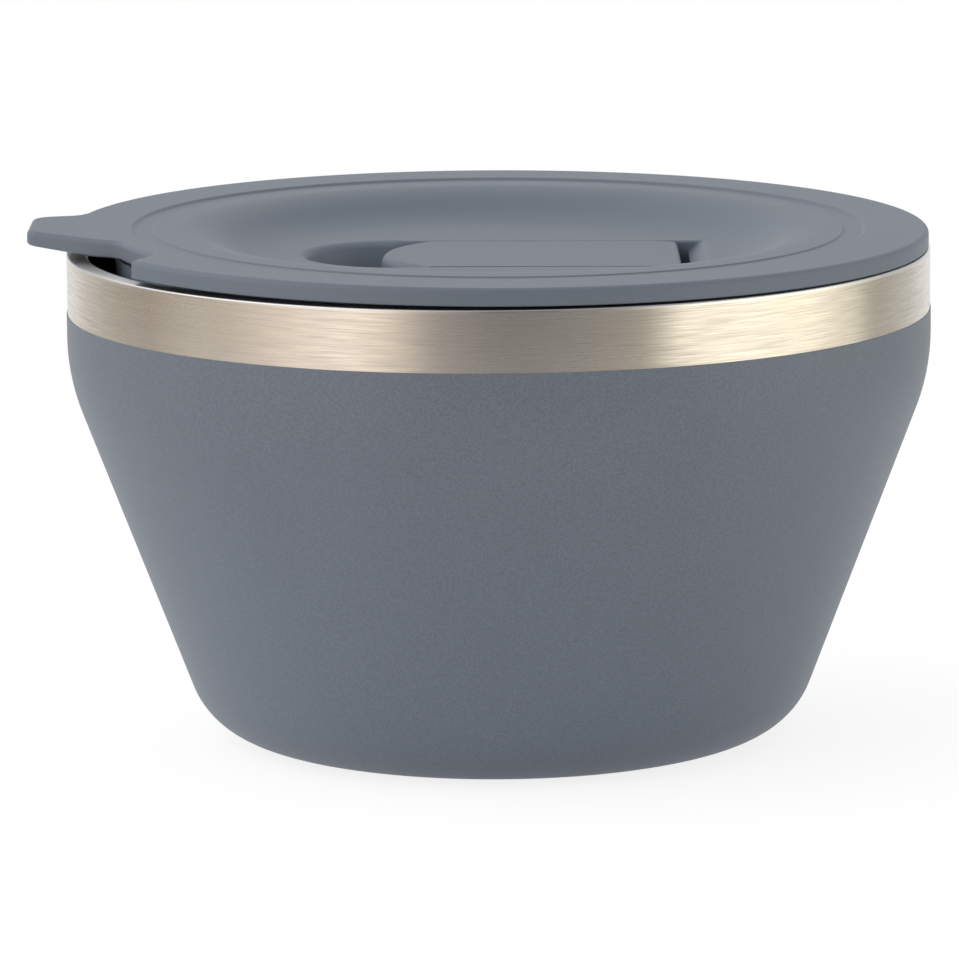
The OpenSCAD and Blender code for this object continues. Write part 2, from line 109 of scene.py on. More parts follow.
class ShaderTree:
    """Node tree of one material or world, with short calls to add and link nodes."""

    def __init__(self, owner: bpy.types.Material | bpy.types.World) -> None:
        """Empties the owner's tree.

        Args:
            owner: Material or world whose nodes are built.
        """
        owner.use_nodes = True
        self.tree = owner.node_tree
        self.tree.nodes.clear()

    def node(self, kind: str, **settings: object) -> bpy.types.Node:
        """Adds a node.

        Args:
            kind: Type of the node, without the word ShaderNode.
            **settings: Properties of the node.

        Returns:
            The new node.
        """
        made = self.tree.nodes.new("ShaderNode" + kind)
        for name, value in settings.items():
            setattr(made, name, value)
        return made

    def link(self, source: Socket, target: Socket) -> None:
        """Links an output to an input."""
        self.tree.links.new(source, target)

    def scaled_place(self, scale: tuple[float, float, float]) -> Socket:
        """Gives Object coordinates multiplied by a scale.

        Args:
            scale: Features per metre along X, Y and Z.

        Returns:
            The vector output to read a pattern with.
        """
        place = self.node("TexCoord")
        mapping = self.node("Mapping")
        mapping.inputs["Scale"].default_value = scale
        self.link(place.outputs["Object"], mapping.inputs["Vector"])
        return mapping.outputs["Vector"]

    def noise(self, vector: Socket, scale: float, detail: float) -> Socket:
        """Adds a noise pattern.

        Args:
            vector: Place to read the noise at.
            scale: Scale of the noise.
            detail: Octaves of the noise.

        Returns:
            The factor output.
        """
        made = self.node("TexNoise")
        made.inputs["Scale"].default_value = scale
        made.inputs["Detail"].default_value = detail
        self.link(vector, made.inputs["Vector"])
        return made.outputs["Fac"]

    def span(self, value: Socket, source: Point, target: Point) -> Socket:
        """Maps a value from one range to another, clamped.

        Args:
            value: Value to map.
            source: Range that the value has.
            target: Range that comes out.

        Returns:
            The mapped value.
        """
        made = self.node("MapRange")
        made.inputs["From Min"].default_value, made.inputs["From Max"].default_value = source
        made.inputs["To Min"].default_value, made.inputs["To Max"].default_value = target
        self.link(value, made.inputs["Value"])
        return made.outputs["Result"]

    def tinted(self, colour: Colour, shade: Socket) -> Socket:
        """Multiplies a colour by a value that varies over the surface.

        Args:
            colour: Colour at a shade of one.
            shade: Varying brightness.

        Returns:
            The colour output.
        """
        made = self.node("Mix", data_type="RGBA", blend_type="MULTIPLY")
        made.inputs["Factor"].default_value = 1.0
        made.inputs["A"].default_value = (*colour, 1.0)
        self.link(shade, made.inputs["B"])
        return made.outputs["Result"]

    def product(self, first: Socket, second: Socket) -> Socket:
        """Multiplies two values."""
        made = self.node("Math", operation="MULTIPLY")
        self.link(first, made.inputs[0])
        self.link(second, made.inputs[1])
        return made.outputs["Value"]

    def larger(self, first: Socket, second: Socket) -> Socket:
        """Gives the larger of two values."""
        made = self.node("Math", operation="MAXIMUM")
        self.link(first, made.inputs[0])
        self.link(second, made.inputs[1])
        return made.outputs["Value"]

    def bump(self, height: Socket, strength: float, depth: float) -> Socket:
        """Adds a bump.

        Args:
            height: Height pattern.
            strength: Strength of the bump.
            depth: Depth of the bump in metres.

        Returns:
            The normal output.
        """
        made = self.node("Bump")
        made.inputs["Strength"].default_value = strength
        made.inputs["Distance"].default_value = depth
        self.link(height, made.inputs["Height"])
        return made.outputs["Normal"]


@dataclass(frozen=True)
class Finish:
    """What every finish has: a name, a colour and a gloss."""

    name: str
    colour: Colour
    roughness: float

    def material(self) -> bpy.types.Material:
        """Builds the material.

        Returns:
            A material with a Principled shader that the finish has dressed.
        """
        made = bpy.data.materials.new(self.name)
        tree = ShaderTree(made)
        shader = tree.node("BsdfPrincipled")
        output = tree.node("OutputMaterial")
        tree.link(shader.outputs["BSDF"], output.inputs["Surface"])
        self.dress(tree, shader)
        return made

    def dress(self, tree: ShaderTree, shader: bpy.types.Node) -> None:
        """Sets the shader's sockets. Each finish has its own version."""
        raise NotImplementedError


@dataclass(frozen=True)
class BrushedSteel(Finish):
    """Bare stainless steel brushed round the axis, with fine hair lines."""

    anisotropy: float = 0.75
    turning: float = 0.25
    lines_up: float = 6000.0
    lines_along: float = 120.0
    shade_low: float = 0.7
    broad_low: float = 0.95
    rough_spread: Point = (0.05, -0.03)
    bump_strength: float = 0.3
    bump_depth: float = 6e-6

    def dress(self, tree: ShaderTree, shader: bpy.types.Node) -> None:
        """Adds hair lines along the turning direction to colour, gloss and height."""
        turned, upright = self.lines_along, self.lines_up
        fine = tree.noise(tree.scaled_place((turned, turned, upright)), 1.0, 3.0)
        broad = tree.noise(tree.scaled_place((turned / 4.0, turned / 4.0, upright / 2.0)), 1.0, 2.0)
        shade = tree.product(
            tree.span(fine, NOISE_SPAN, (self.shade_low, 1.0)),
            tree.span(broad, NOISE_SPAN, (self.broad_low, 1.0)),
        )
        tree.link(tree.tinted(self.colour, shade), shader.inputs["Base Color"])
        dull, bright = (self.roughness + spread for spread in self.rough_spread)
        tree.link(tree.span(fine, NOISE_SPAN, (dull, bright)), shader.inputs["Roughness"])
        tree.link(tree.bump(fine, self.bump_strength, self.bump_depth), shader.inputs["Normal"])
        tangent = tree.node("Tangent", direction_type="RADIAL", axis="Z")
        tree.link(tangent.outputs["Tangent"], shader.inputs["Tangent"])
        shader.inputs["Metallic"].default_value = 1.0
        shader.inputs["Anisotropic"].default_value = self.anisotropy
        shader.inputs["Anisotropic Rotation"].default_value = self.turning


@dataclass(frozen=True)
class PolishedSteel(Finish):
    """Bright stainless steel with faint turning lines."""

    lines_up: float = 1500.0
    lines_along: float = 40.0
    cloud_grain: float = 60.0
    shade_low: float = 0.94
    rough_rise: float = 0.06
    bump_strength: float = 0.25
    bump_depth: float = 3e-6

    def dress(self, tree: ShaderTree, shader: bpy.types.Node) -> None:
        """Adds faint lines and clouds to colour and gloss."""
        lines = tree.noise(tree.scaled_place((self.lines_along, self.lines_along, self.lines_up)), 1.0, 2.0)
        clouds = tree.noise(tree.scaled_place((1.0, 1.0, 1.0)), self.cloud_grain, 3.0)
        shade = tree.span(lines, NOISE_SPAN, (self.shade_low, 1.0))
        tree.link(tree.tinted(self.colour, shade), shader.inputs["Base Color"])
        rough = tree.span(clouds, NOISE_SPAN, (self.roughness, self.roughness + self.rough_rise))
        tree.link(rough, shader.inputs["Roughness"])
        tree.link(tree.bump(lines, self.bump_strength, self.bump_depth), shader.inputs["Normal"])
        shader.inputs["Metallic"].default_value = 1.0


@dataclass(frozen=True)
class GrainedFinish(Finish):
    """Finish with a fine grain in colour, gloss and height, and faint clouds where it has them."""

    grain: float = 900.0
    detail: float = 2.0
    grain_span: Point = NOISE_SPAN
    shades: Point = (0.9, 1.05)
    grains_per_cloud: float = 0.0
    cloud_shades: Point = (1.0, 1.0)
    rough_spread: Point = (-0.05, 0.05)
    bump_strength: float = 0.2
    bump_depth: float = 1e-5
    specular: float = 0.35

    def dress(self, tree: ShaderTree, shader: bpy.types.Node) -> None:
        """Adds the grain and the clouds."""
        place = tree.scaled_place((1.0, 1.0, 1.0))
        grains = tree.noise(place, self.grain, self.detail)
        shade = tree.span(grains, self.grain_span, self.shades)
        if self.grains_per_cloud:
            clouds = tree.noise(place, self.grain / self.grains_per_cloud, 3.0)
            shade = tree.product(shade, tree.span(clouds, NOISE_SPAN, self.cloud_shades))
        tree.link(tree.tinted(self.colour, shade), shader.inputs["Base Color"])
        smooth, coarse = (self.roughness + spread for spread in self.rough_spread)
        tree.link(tree.span(grains, NOISE_SPAN, (smooth, coarse)), shader.inputs["Roughness"])
        tree.link(tree.bump(grains, self.bump_strength, self.bump_depth), shader.inputs["Normal"])
        shader.inputs["Specular IOR Level"].default_value = self.specular


@dataclass(frozen=True)
class PowderCoat(GrainedFinish):
    """Baked powder coat: a fine pebbled skin with tiny lighter and darker grains."""

    grain: float = 2600.0
    grain_span: Point = (0.32, 0.68)
    shades: Point = (0.86, 1.1)
    grains_per_cloud: float = 60.0
    cloud_shades: Point = (0.97, 1.02)
    rough_spread: Point = (-0.04, 0.05)
    bump_strength: float = 0.5
    bump_depth: float = 3e-5
    specular: float = 0.45


@dataclass(frozen=True)
class MouldedPlastic(GrainedFinish):
    """Injection-moulded plastic with a fine spark-eroded texture and slow flow clouds."""

    grain: float = 3600.0
    shades: Point = (0.95, 1.03)
    grains_per_cloud: float = 120.0
    cloud_shades: Point = (0.985, 1.015)
    rough_spread: Point = (-0.03, 0.04)
    bump_strength: float = 0.35
    bump_depth: float = 1.2e-5
    specular: float = 0.4


@dataclass(frozen=True)
class MottledBody(GrainedFinish):
    """Silicone, bead glass or pressed powder: a plain body with mottled gloss."""

    detail: float = 3.0


@dataclass
class Palette:
    """All finishes of the bowl, one for each slot of the record."""

    finishes: dict[Slot, Finish] = field(default_factory=lambda: {
        Slot.BAND: BrushedSteel("brushed_stainless", (0.74, 0.68, 0.61), 0.28),
        Slot.POLISHED: PolishedSteel("polished_stainless", (0.74, 0.73, 0.71), 0.28),
        Slot.COAT: PowderCoat("blue_grey_powder_coat", (0.18, 0.208, 0.255), 0.52),
        Slot.LID: MouldedPlastic("blue_grey_plastic", (0.177, 0.207, 0.256), 0.5),
        Slot.SILICONE: MottledBody("grey_silicone", (0.07, 0.078, 0.09), 0.5),
        Slot.BEAD: MottledBody("fused_bead", (0.03, 0.03, 0.033), 0.2, grain=300.0, specular=0.5),
        Slot.GETTER: MottledBody("pressed_powder", (0.09, 0.09, 0.09), 0.8, grain=2500.0, specular=0.2),
    })
    made: dict[Slot, bpy.types.Material] = field(default_factory=dict)

    def material(self, slot: Slot) -> bpy.types.Material:
        """Gives the material of a slot, built on first use.

        Args:
            slot: Slot of the record.

        Returns:
            The material.
        """
        if slot not in self.made:
            self.made[slot] = self.finishes[slot].material()
        return self.made[slot]

    def dress_node(self, node: bpy.types.Object, slot: Slot) -> None:
        """Gives a node of the frame a slot's material."""
        node.data.materials.clear()
        node.data.materials.append(self.material(slot))


# ---------------------------------------------------------------- modelling


class Chain:
    """Chain of vertices in one plane, drawn with lines and arcs, that a solid is made from."""

    axis = (0.0, 0.0, 1.0)

    def __init__(self, across: float, up: float) -> None:
        """Starts the chain at a point of its plane."""
        self.mesh = bmesh.new()
        self.first = self.tip = self.mesh.verts.new(self.point(across, up))

    def point(self, across: float, up: float) -> tuple[float, float, float]:
        """Gives the place in space of a point of the plane."""
        return across, up, 0.0

    def line(self, across: float, up: float) -> Self:
        """Draws a straight to a point."""
        start, self.tip = self.tip, self.mesh.verts.new(self.point(across, up))
        self.mesh.edges.new((start, self.tip))
        return self

    def arc(self, centre: Point, degrees: float, steps: int) -> Self:
        """Swings the tip round a centre.

        Args:
            centre: Centre of the swing in the plane.
            degrees: Angle of the swing, anti-clockwise as the plane is drawn.
            steps: Straights that make the arc.

        Returns:
            The chain.
        """
        swing = bmesh.ops.spin(
            self.mesh, geom=[self.tip], cent=self.point(*centre), axis=self.axis,
            angle=math.radians(degrees), steps=steps, use_merge=False, use_duplicate=False,
        )
        self.tip = next(item for item in swing["geom_last"] if isinstance(item, bmesh.types.BMVert))
        return self

    def close(self) -> Self:
        """Joins the tip to the first point."""
        self.mesh.edges.new((self.tip, self.first))
        return self


class Outline(Chain):
    """Half section in the XZ plane, radius to the right and height up, that turned pieces are spun from."""

    axis = (0.0, -1.0, 0.0)

    def point(self, across: float, up: float) -> tuple[float, float, float]:
        """Gives the place in space of a point of the plane."""
        return across, 0.0, up

    def spun(self, steps: int) -> bmesh.types.BMesh:
        """Spins the chain about the Z axis.

        Args:
            steps: Steps of the full turn.

        Returns:
            A closed mesh with its faces pointing outwards.
        """
        bmesh.ops.spin(
            self.mesh, geom=self.mesh.verts[:] + self.mesh.edges[:], cent=(0.0, 0.0, 0.0),
            axis=(0.0, 0.0, 1.0), angle=math.tau, steps=steps, use_merge=True, use_duplicate=False,
        )
        bmesh.ops.remove_doubles(self.mesh, verts=self.mesh.verts[:], dist=MERGE_GAP)
        bmesh.ops.recalc_face_normals(self.mesh, faces=self.mesh.faces[:])
        return self.mesh


class Plan(Chain):
    """Plan in the XY plane, seen from above, that prisms are raised from."""

    def arc_to(self, centre: Vector, end: Vector, steps: int) -> Self:
        """Swings the tip round a centre to a point, the short way.

        Args:
            centre: Centre of the arc.
            end: Point that the arc ends at.
            steps: Straights that make the arc.

        Returns:
            The plan.
        """
        here, there = self.tip.co.xy - centre, end - centre
        turn = math.atan2(here.x * there.y - here.y * there.x, here.dot(there))
        return self.arc((centre.x, centre.y), math.degrees(turn), steps)

    def raised(self, low: float, high: float) -> bmesh.types.BMesh:
        """Closes the chain, fills it and raises it to a prism.

        Args:
            low: Height of the prism's underside.
            high: Height of its top.

        Returns:
            A closed mesh with its faces pointing outwards.
        """
        self.close()
        bmesh.ops.remove_doubles(self.mesh, verts=self.mesh.verts[:], dist=MERGE_GAP)
        floor = bmesh.ops.contextual_create(self.mesh, geom=self.mesh.edges[:])["faces"]
        bmesh.ops.translate(self.mesh, vec=(0.0, 0.0, low), verts=self.mesh.verts[:])
        raised = bmesh.ops.extrude_face_region(self.mesh, geom=floor)["geom"]
        tops = [item for item in raised if isinstance(item, bmesh.types.BMVert)]
        bmesh.ops.translate(self.mesh, vec=(0.0, 0.0, high - low), verts=tops)
        bmesh.ops.recalc_face_normals(self.mesh, faces=self.mesh.faces[:])
        return self.mesh


def middle_of(edge: bmesh.types.BMEdge) -> Vector:
    """Gives the middle of an edge."""
    return (edge.verts[0].co + edge.verts[1].co) / 2.0


def rounded(
    mesh: bmesh.types.BMesh, edges: list[bmesh.types.BMEdge], radius: float, segments: int, **mitre: object
) -> None:
    """Rounds some edges of a mesh.

    Args:
        mesh: Mesh that the edges are in.
        edges: Edges to round.
        radius: Radius of the rounding.
        segments: Faces across the rounding.
        **mitre: How the rounding turns corners, as the bevel operator takes it.
    """
    bmesh.ops.bevel(
        mesh, geom=edges, offset=radius, offset_type="OFFSET", segments=segments, profile=0.5,
        affect="EDGES", clamp_overlap=False, material=-1, **mitre,
    )


class Workpiece:
    """Closed solid that is joined, cut, rounded and then handed over as a piece of the bowl."""

    sharp_angle = math.radians(32.0)
    flat_angle = math.radians(0.05)
    boolean_gap = MERGE_GAP * 10.0

    def __init__(self, name: str, mesh: bmesh.types.BMesh) -> None:
        """Puts a mesh on the bench.

        Args:
            name: Name of the piece.
            mesh: Closed mesh in millimetres. It is freed.
        """
        data = bpy.data.meshes.new(name)
        mesh.to_mesh(data)
        mesh.free()
        self.item = bpy.data.objects.new(name, data)
        bpy.context.scene.collection.objects.link(self.item)

    def settle(self) -> None:
        """Applies the modifiers to the mesh."""
        graph = bpy.context.evaluated_depsgraph_get()
        settled = bpy.data.meshes.new_from_object(self.item.evaluated_get(graph), depsgraph=graph)
        old = self.item.data
        self.item.modifiers.clear()
        self.item.data = settled
        bpy.data.meshes.remove(old)

    def combine(self, other: Workpiece, how: Joining) -> Workpiece:
        """Adds another solid or cuts it away.

        Args:
            other: The other solid. It is used up.
            how: Way to combine them.

        Returns:
            This solid.
        """
        step = self.item.modifiers.new(how.name, "BOOLEAN")
        step.operation = how.value
        step.solver = "EXACT"
        step.object = other.item
        self.settle()
        spent = other.item.data
        bpy.data.objects.remove(other.item)
        bpy.data.meshes.remove(spent)
        return self

    def round_edges(self, chosen: Callable[[Vector], bool], radius: float, segments: int) -> Workpiece:
        """Rounds the sharp edges whose middle is chosen.

        Args:
            chosen: Says whether an edge with that middle is rounded.
            radius: Radius of the rounding.
            segments: Faces across the rounding.

        Returns:
            This solid.
        """
        mesh = bmesh.new()
        mesh.from_mesh(self.item.data)
        bmesh.ops.remove_doubles(mesh, verts=mesh.verts[:], dist=self.boolean_gap)
        bmesh.ops.dissolve_limit(
            mesh, angle_limit=self.flat_angle, use_dissolve_boundaries=False,
            verts=mesh.verts[:], edges=mesh.edges[:], delimit=set(),
        )
        picked = [
            edge for edge in mesh.edges
            if len(edge.link_faces) == 2
            and edge.calc_face_angle() > self.sharp_angle
            and chosen(middle_of(edge))
        ]
        rounded(mesh, picked, radius, segments, miter_outer="ARC", spread=radius / 4.0)
        bmesh.ops.remove_doubles(mesh, verts=mesh.verts[:], dist=self.boolean_gap)
        mesh.to_mesh(self.item.data)
        mesh.free()
        return self

    def handed_over(
        self, body: Body, slot: Slot, palette: Palette, nodes: Sequence[str], place: Matrix | None = None
    ) -> bpy.types.Object:
        """Smooths, scales to metres, places and dresses the piece.

        Args:
            body: Body that the piece rides on.
            slot: Slot that its finish comes from.
            palette: The bowl's finishes.
            nodes: Nodes of the frame that the piece stands for.
            place: Where the piece goes, in millimetres, if it isn't there yet.

        Returns:
            The finished object.
        """
        if place is not None:
            self.item.data.transform(place)
        mesh = bmesh.new()
        mesh.from_mesh(self.item.data)
        bmesh.ops.remove_doubles(mesh, verts=mesh.verts[:], dist=MERGE_GAP)
        bmesh.ops.scale(mesh, vec=(METRES_PER_MM,) * 3, verts=mesh.verts[:])
        for face in mesh.faces:
            face.smooth = True
            face.material_index = 0
        for edge in mesh.edges:
            edge.smooth = len(edge.link_faces) != 2 or edge.calc_face_angle() < self.sharp_angle
        mesh.to_mesh(self.item.data)
        mesh.free()
        weights = self.item.modifiers.new("even_shading", "WEIGHTED_NORMAL")
        weights.keep_sharp = True
        weights.weight = 100
        self.settle()
        self.item.data.materials.clear()
        self.item.data.materials.append(palette.material(slot))
        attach(self.item, body.value)
        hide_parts(*nodes)
        LOG.info("%s: %d faces on %s", self.item.name, len(self.item.data.polygons), body.value)
        return self.item


# ---------------------------------------------------------------- the bowl


@dataclass
class BowlShell:
    """The double-walled bowl: coat, outer wall, liner with the rim, and the base."""

    palette: Palette
    radius: float = 76.0
    height: float = 86.5
    straight: float = 14.7
    shoulder: float = 37.5
    corner: float = 14.3
    base: float = 41.5
    foot: float = 36.5
    band: float = 10.6
    coat: float = 0.15
    coat_soft: float = 0.8
    sheet: float = 0.6
    gap: float = 2.65
    floor: float = 9.0
    liner_corner: float = 11.0
    rim_edge: float = 0.3
    rim_inner: float = 1.2
    lip: float = 3.2
    foot_edge: float = 0.3
    foot_slant: float = 0.15
    cover_low: float = 0.25
    cover_thick: float = 0.5
    cover_radius: float = 36.4
    cover_edge: float = 0.2
    pressed_radius: float = 26.0
    pressed_run: float = 1.2
    pressed_rise: float = 0.12
    steps: int = 256

    @property
    def shoulder_centre(self) -> Point:
        """Centre of the shoulder's arc."""
        return self.radius - self.shoulder, self.height - self.straight

    @property
    def taper(self) -> float:
        """Angle of the taper from upright, in radians."""
        run = self.base - self.shoulder_centre[0]
        rise = self.shoulder_centre[1] - self.corner
        return math.asin((self.shoulder - self.corner) / math.hypot(run, rise)) - math.atan2(run, rise)

    def corner_centre(self, depth: float, floor: float, corner: float) -> Point:
        """Centre of the corner's arc of a wall that lies at a depth under the bowl's outside.

        Args:
            depth: Depth of the wall under the outside.
            floor: Height of the wall's flat.
            corner: Radius of its corner.

        Returns:
            Radius and height of the centre.
        """
        across, down = math.cos(self.taper), math.sin(self.taper)
        reach = self.shoulder - depth - corner
        start = self.shoulder_centre[0] + reach * across, self.shoulder_centre[1] - reach * down
        drop = start[1] - floor - corner
        return start[0] - drop * math.tan(self.taper), floor + corner

    def wall_down(self, line: Outline, depth: float, floor: float, corner: float) -> Outline:
        """Draws a wall from the top of its shoulder down to its flat.

        Args:
            line: Outline whose tip is above the shoulder, on the wall.
            depth: Depth of the wall under the bowl's outside.
            floor: Height of its flat.
            corner: Radius of its corner.

        Returns:
            The outline, its tip where the flat starts.
        """
        centre, turn = self.shoulder_centre, math.degrees(self.taper)
        low = self.corner_centre(depth, floor, corner)
        line.line(self.radius - depth, centre[1]).arc(centre, -turn, 10)
        line.line(low[0] + corner * math.cos(self.taper), low[1] - corner * math.sin(self.taper))
        return line.arc(low, turn - 90.0, 16)

    def wall_up(self, line: Outline, depth: float, floor: float, corner: float) -> Outline:
        """Draws a wall from its flat up to the top of its shoulder.

        Args:
            line: Outline whose tip is on the flat.
            depth: Depth of the wall under the bowl's outside.
            floor: Height of its flat.
            corner: Radius of its corner.

        Returns:
            The outline, its tip where the straight wall starts.
        """
        centre, turn = self.shoulder_centre, math.degrees(self.taper)
        low = self.corner_centre(depth, floor, corner)
        arm = self.shoulder - depth
        line.line(low[0], floor).arc(low, 90.0 - turn, 16)
        line.line(centre[0] + arm * math.cos(self.taper), centre[1] - arm * math.sin(self.taper))
        return line.arc(centre, turn, 10)

    def build(self) -> None:
        """Builds every piece of the bowl."""
        self.build_coat()
        self.build_outer_wall()
        self.build_liner()
        self.build_cover()

    def build_coat(self) -> None:
        """Builds the powder coat, with a soft edge where it was masked off."""
        top = self.height - self.band
        soft = self.coat * self.coat_soft
        line = Outline(self.radius - self.coat, top).line(self.radius - soft, top)
        line.arc((self.radius - soft, top - soft), -90.0, 4)
        self.wall_down(line, 0.0, 0.0, self.corner).line(self.base, self.coat)
        self.wall_up(line, self.coat, self.coat, self.corner - self.coat)
        line.close()
        piece = Workpiece("coat", line.spun(self.steps))
        piece.handed_over(Body.BOWL, Slot.COAT, self.palette, ["powder_coat"])

    def build_outer_wall(self) -> None:
        """Builds the outer wall, whose band and foot ring stay bare."""
        outside, inside = self.coat, self.coat + self.sheet
        top = self.height - self.sheet
        line = Outline(self.radius - outside, top)
        self.wall_down(line, outside, outside, self.corner - outside)
        line.line(self.base, outside).line(self.base - self.foot_slant, 0.0)
        line.line(self.foot + self.foot_edge, 0.0)
        line.arc((self.foot + self.foot_edge, self.foot_edge), -90.0, 4)
        line.line(self.foot, self.lip).line(self.foot + self.sheet, self.lip)
        line.line(self.foot + self.sheet, inside)
        self.wall_up(line, inside, inside, self.corner - inside)
        line.line(self.radius - inside, top).close()
        piece = Workpiece("outer_wall", line.spun(self.steps))
        piece.handed_over(Body.BOWL, Slot.BAND, self.palette, ["outer_shell"])

    def build_liner(self) -> None:
        """Builds the liner with the flat rim that closes the gap between the walls."""
        outside = self.coat + self.sheet + self.gap
        inside = outside + self.sheet
        steel, top = self.radius - self.coat, self.height
        line = Outline(0.0, self.floor)
        self.wall_up(line, inside, self.floor, self.liner_corner)
        line.line(self.radius - inside, top - self.rim_inner)
        line.arc((self.radius - inside + self.rim_inner, top - self.rim_inner), -90.0, 6)
        line.line(steel - self.rim_edge, top).arc((steel - self.rim_edge, top - self.rim_edge), -90.0, 6)
        line.line(steel, top - self.sheet).line(self.radius - outside, top - self.sheet)
        self.wall_down(line, outside, self.floor - self.sheet, self.liner_corner + self.sheet)
        line.line(0.0, self.floor - self.sheet)
        piece = Workpiece("liner", line.spun(self.steps))
        piece.handed_over(Body.BOWL, Slot.POLISHED, self.palette, ["inner_liner"])

    def build_cover(self) -> None:
        """Builds the cover disc with a rounded rim and a shallow pressed step."""
        low, high = self.cover_low, self.cover_low + self.cover_thick
        edge, pressed = self.cover_edge, low + self.pressed_rise
        line = Outline(0.0, high).line(self.cover_radius, high).line(self.cover_radius, low + edge)
        line.arc((self.cover_radius - edge, low + edge), -90.0, 4)
        line.line(self.pressed_radius + self.pressed_run, low)
        line.line(self.pressed_radius, pressed).line(0.0, pressed)
        piece = Workpiece("cover_disc", line.spun(self.steps))
        piece.handed_over(Body.BOWL, Slot.BAND, self.palette, ["base_cover"])


# ---------------------------------------------------------------- the lid


@dataclass
class LidSizes:
    """Sizes that the lid, its gasket and its flap share, about the centre of the flange's underside."""

    radius: float = 75.6
    thick: float = 3.1
    edge: float = 0.9
    under_edge: float = 0.4
    tilt: float = 0.35
    rim_height: float = 86.5
    rest_gap: float = 0.05
    groove: float = 64.2
    groove_width: float = 3.5
    groove_depth: float = 0.45
    ring_drop: float = 0.2
    dish: float = 57.0
    dish_floor: float = 38.7
    dish_depth: float = 5.0
    slope_straight: float = 1.7
    wall: float = 2.4
    skirt: float = 67.3
    skirt_wall: float = 2.2
    skirt_depth: float = 11.0
    rib: float = 2.3
    rib_thick: float = 1.0
    channel: float = 2.4
    flap_half: float = 15.65
    flap_end: float = 32.0
    flap_length: float = 52.5
    flap_thick: float = 2.4
    nose: float = 21.5
    flap_gap: float = 0.35
    hinge_in: float = 3.5
    hinge_drop: float = 2.8
    pocket_depth: float = 7.0
    vent_x: float = -4.0
    vent: float = 3.6
    collar_height: float = 1.6
    plug_gap: float = 0.3
    plug_thick: float = 1.5
    plug_lap: float = 1.8

    @property
    def place(self) -> Matrix:
        """Where the lid lies on the bowl, tilted a little and resting on the rim on its hinge side."""
        tilt = math.radians(self.tilt)
        height = self.rim_height + self.rest_gap + math.tan(tilt) * self.radius
        return Matrix.Translation((0.0, 0.0, height)) @ Matrix.Rotation(tilt, 4, "Y")

    @property
    def floor(self) -> float:
        """Height of the dish's floor."""
        return self.thick - self.dish_depth

    @property
    def ring(self) -> float:
        """Height of the raised ring."""
        return self.thick - self.ring_drop

    @property
    def slope_turn(self) -> float:
        """Steepest angle of the dish's slope, in radians."""
        run = self.dish - self.dish_floor + self.slope_straight
        return 2.0 * math.atan((self.ring - self.floor) / run)

    @property
    def slope(self) -> float:
        """Radius of the two arcs of the dish's slope."""
        run, drop, turn = self.dish - self.dish_floor, self.ring - self.floor, self.slope_turn
        return (run * math.sin(turn) - drop * math.cos(turn)) / (2.0 - 2.0 * math.cos(turn))

    @property
    def low_rib(self) -> float:
        """Height of the lower rib's top."""
        return self.rib_thick - self.skirt_depth

    @property
    def high_rib(self) -> float:
        """Height of the upper rib's underside."""
        return self.low_rib + self.channel

    @property
    def pocket_half(self) -> float:
        """Half width of the pocket."""
        return self.flap_half + self.flap_gap

    @property
    def pocket_floor(self) -> float:
        """Height of the pocket's floor."""
        return self.floor - self.pocket_depth

    @property
    def nose_x(self) -> float:
        """Place of the centre of the flap's nose."""
        return self.flap_end - self.flap_length + self.nose

    @property
    def hinge(self) -> Point:
        """Place and height of the hinge's axis."""
        return self.flap_end - self.hinge_in, self.floor - self.hinge_drop

    @property
    def plug_low(self) -> float:
        """Height of the underside of the plug's head."""
        return self.pocket_floor + self.collar_height + self.plug_gap


def rod(radius: float, half: float, x: float, z: float, steps: int) -> bmesh.types.BMesh:
    """Makes a bar along Y.

    Args:
        radius: Radius of the bar.
        half: Half its length.
        x: Place of its axis.
        z: Height of its axis.
        steps: Sides of the bar.

    Returns:
        A closed mesh.
    """
    mesh = Plan(radius, 0.0).arc((0.0, 0.0), 360.0 - 360.0 / steps, steps - 1).raised(-half, half)
    turn = Matrix.Translation((x, 0.0, z)) @ Matrix.Rotation(math.pi / 2.0, 4, "X")
    bmesh.ops.transform(mesh, matrix=turn, verts=mesh.verts[:])
    return mesh


def column(radius: float, x: float, low: float, high: float, steps: int) -> bmesh.types.BMesh:
    """Makes an upright cylinder.

    Args:
        radius: Radius of the cylinder.
        x: Place of its axis.
        low: Height of its foot.
        high: Height of its top.
        steps: Sides of the cylinder.

    Returns:
        A closed mesh.
    """
    plan = Plan(x + radius, 0.0).arc((x, 0.0), 360.0 - 360.0 / steps, steps - 1)
    return plan.raised(low, high)


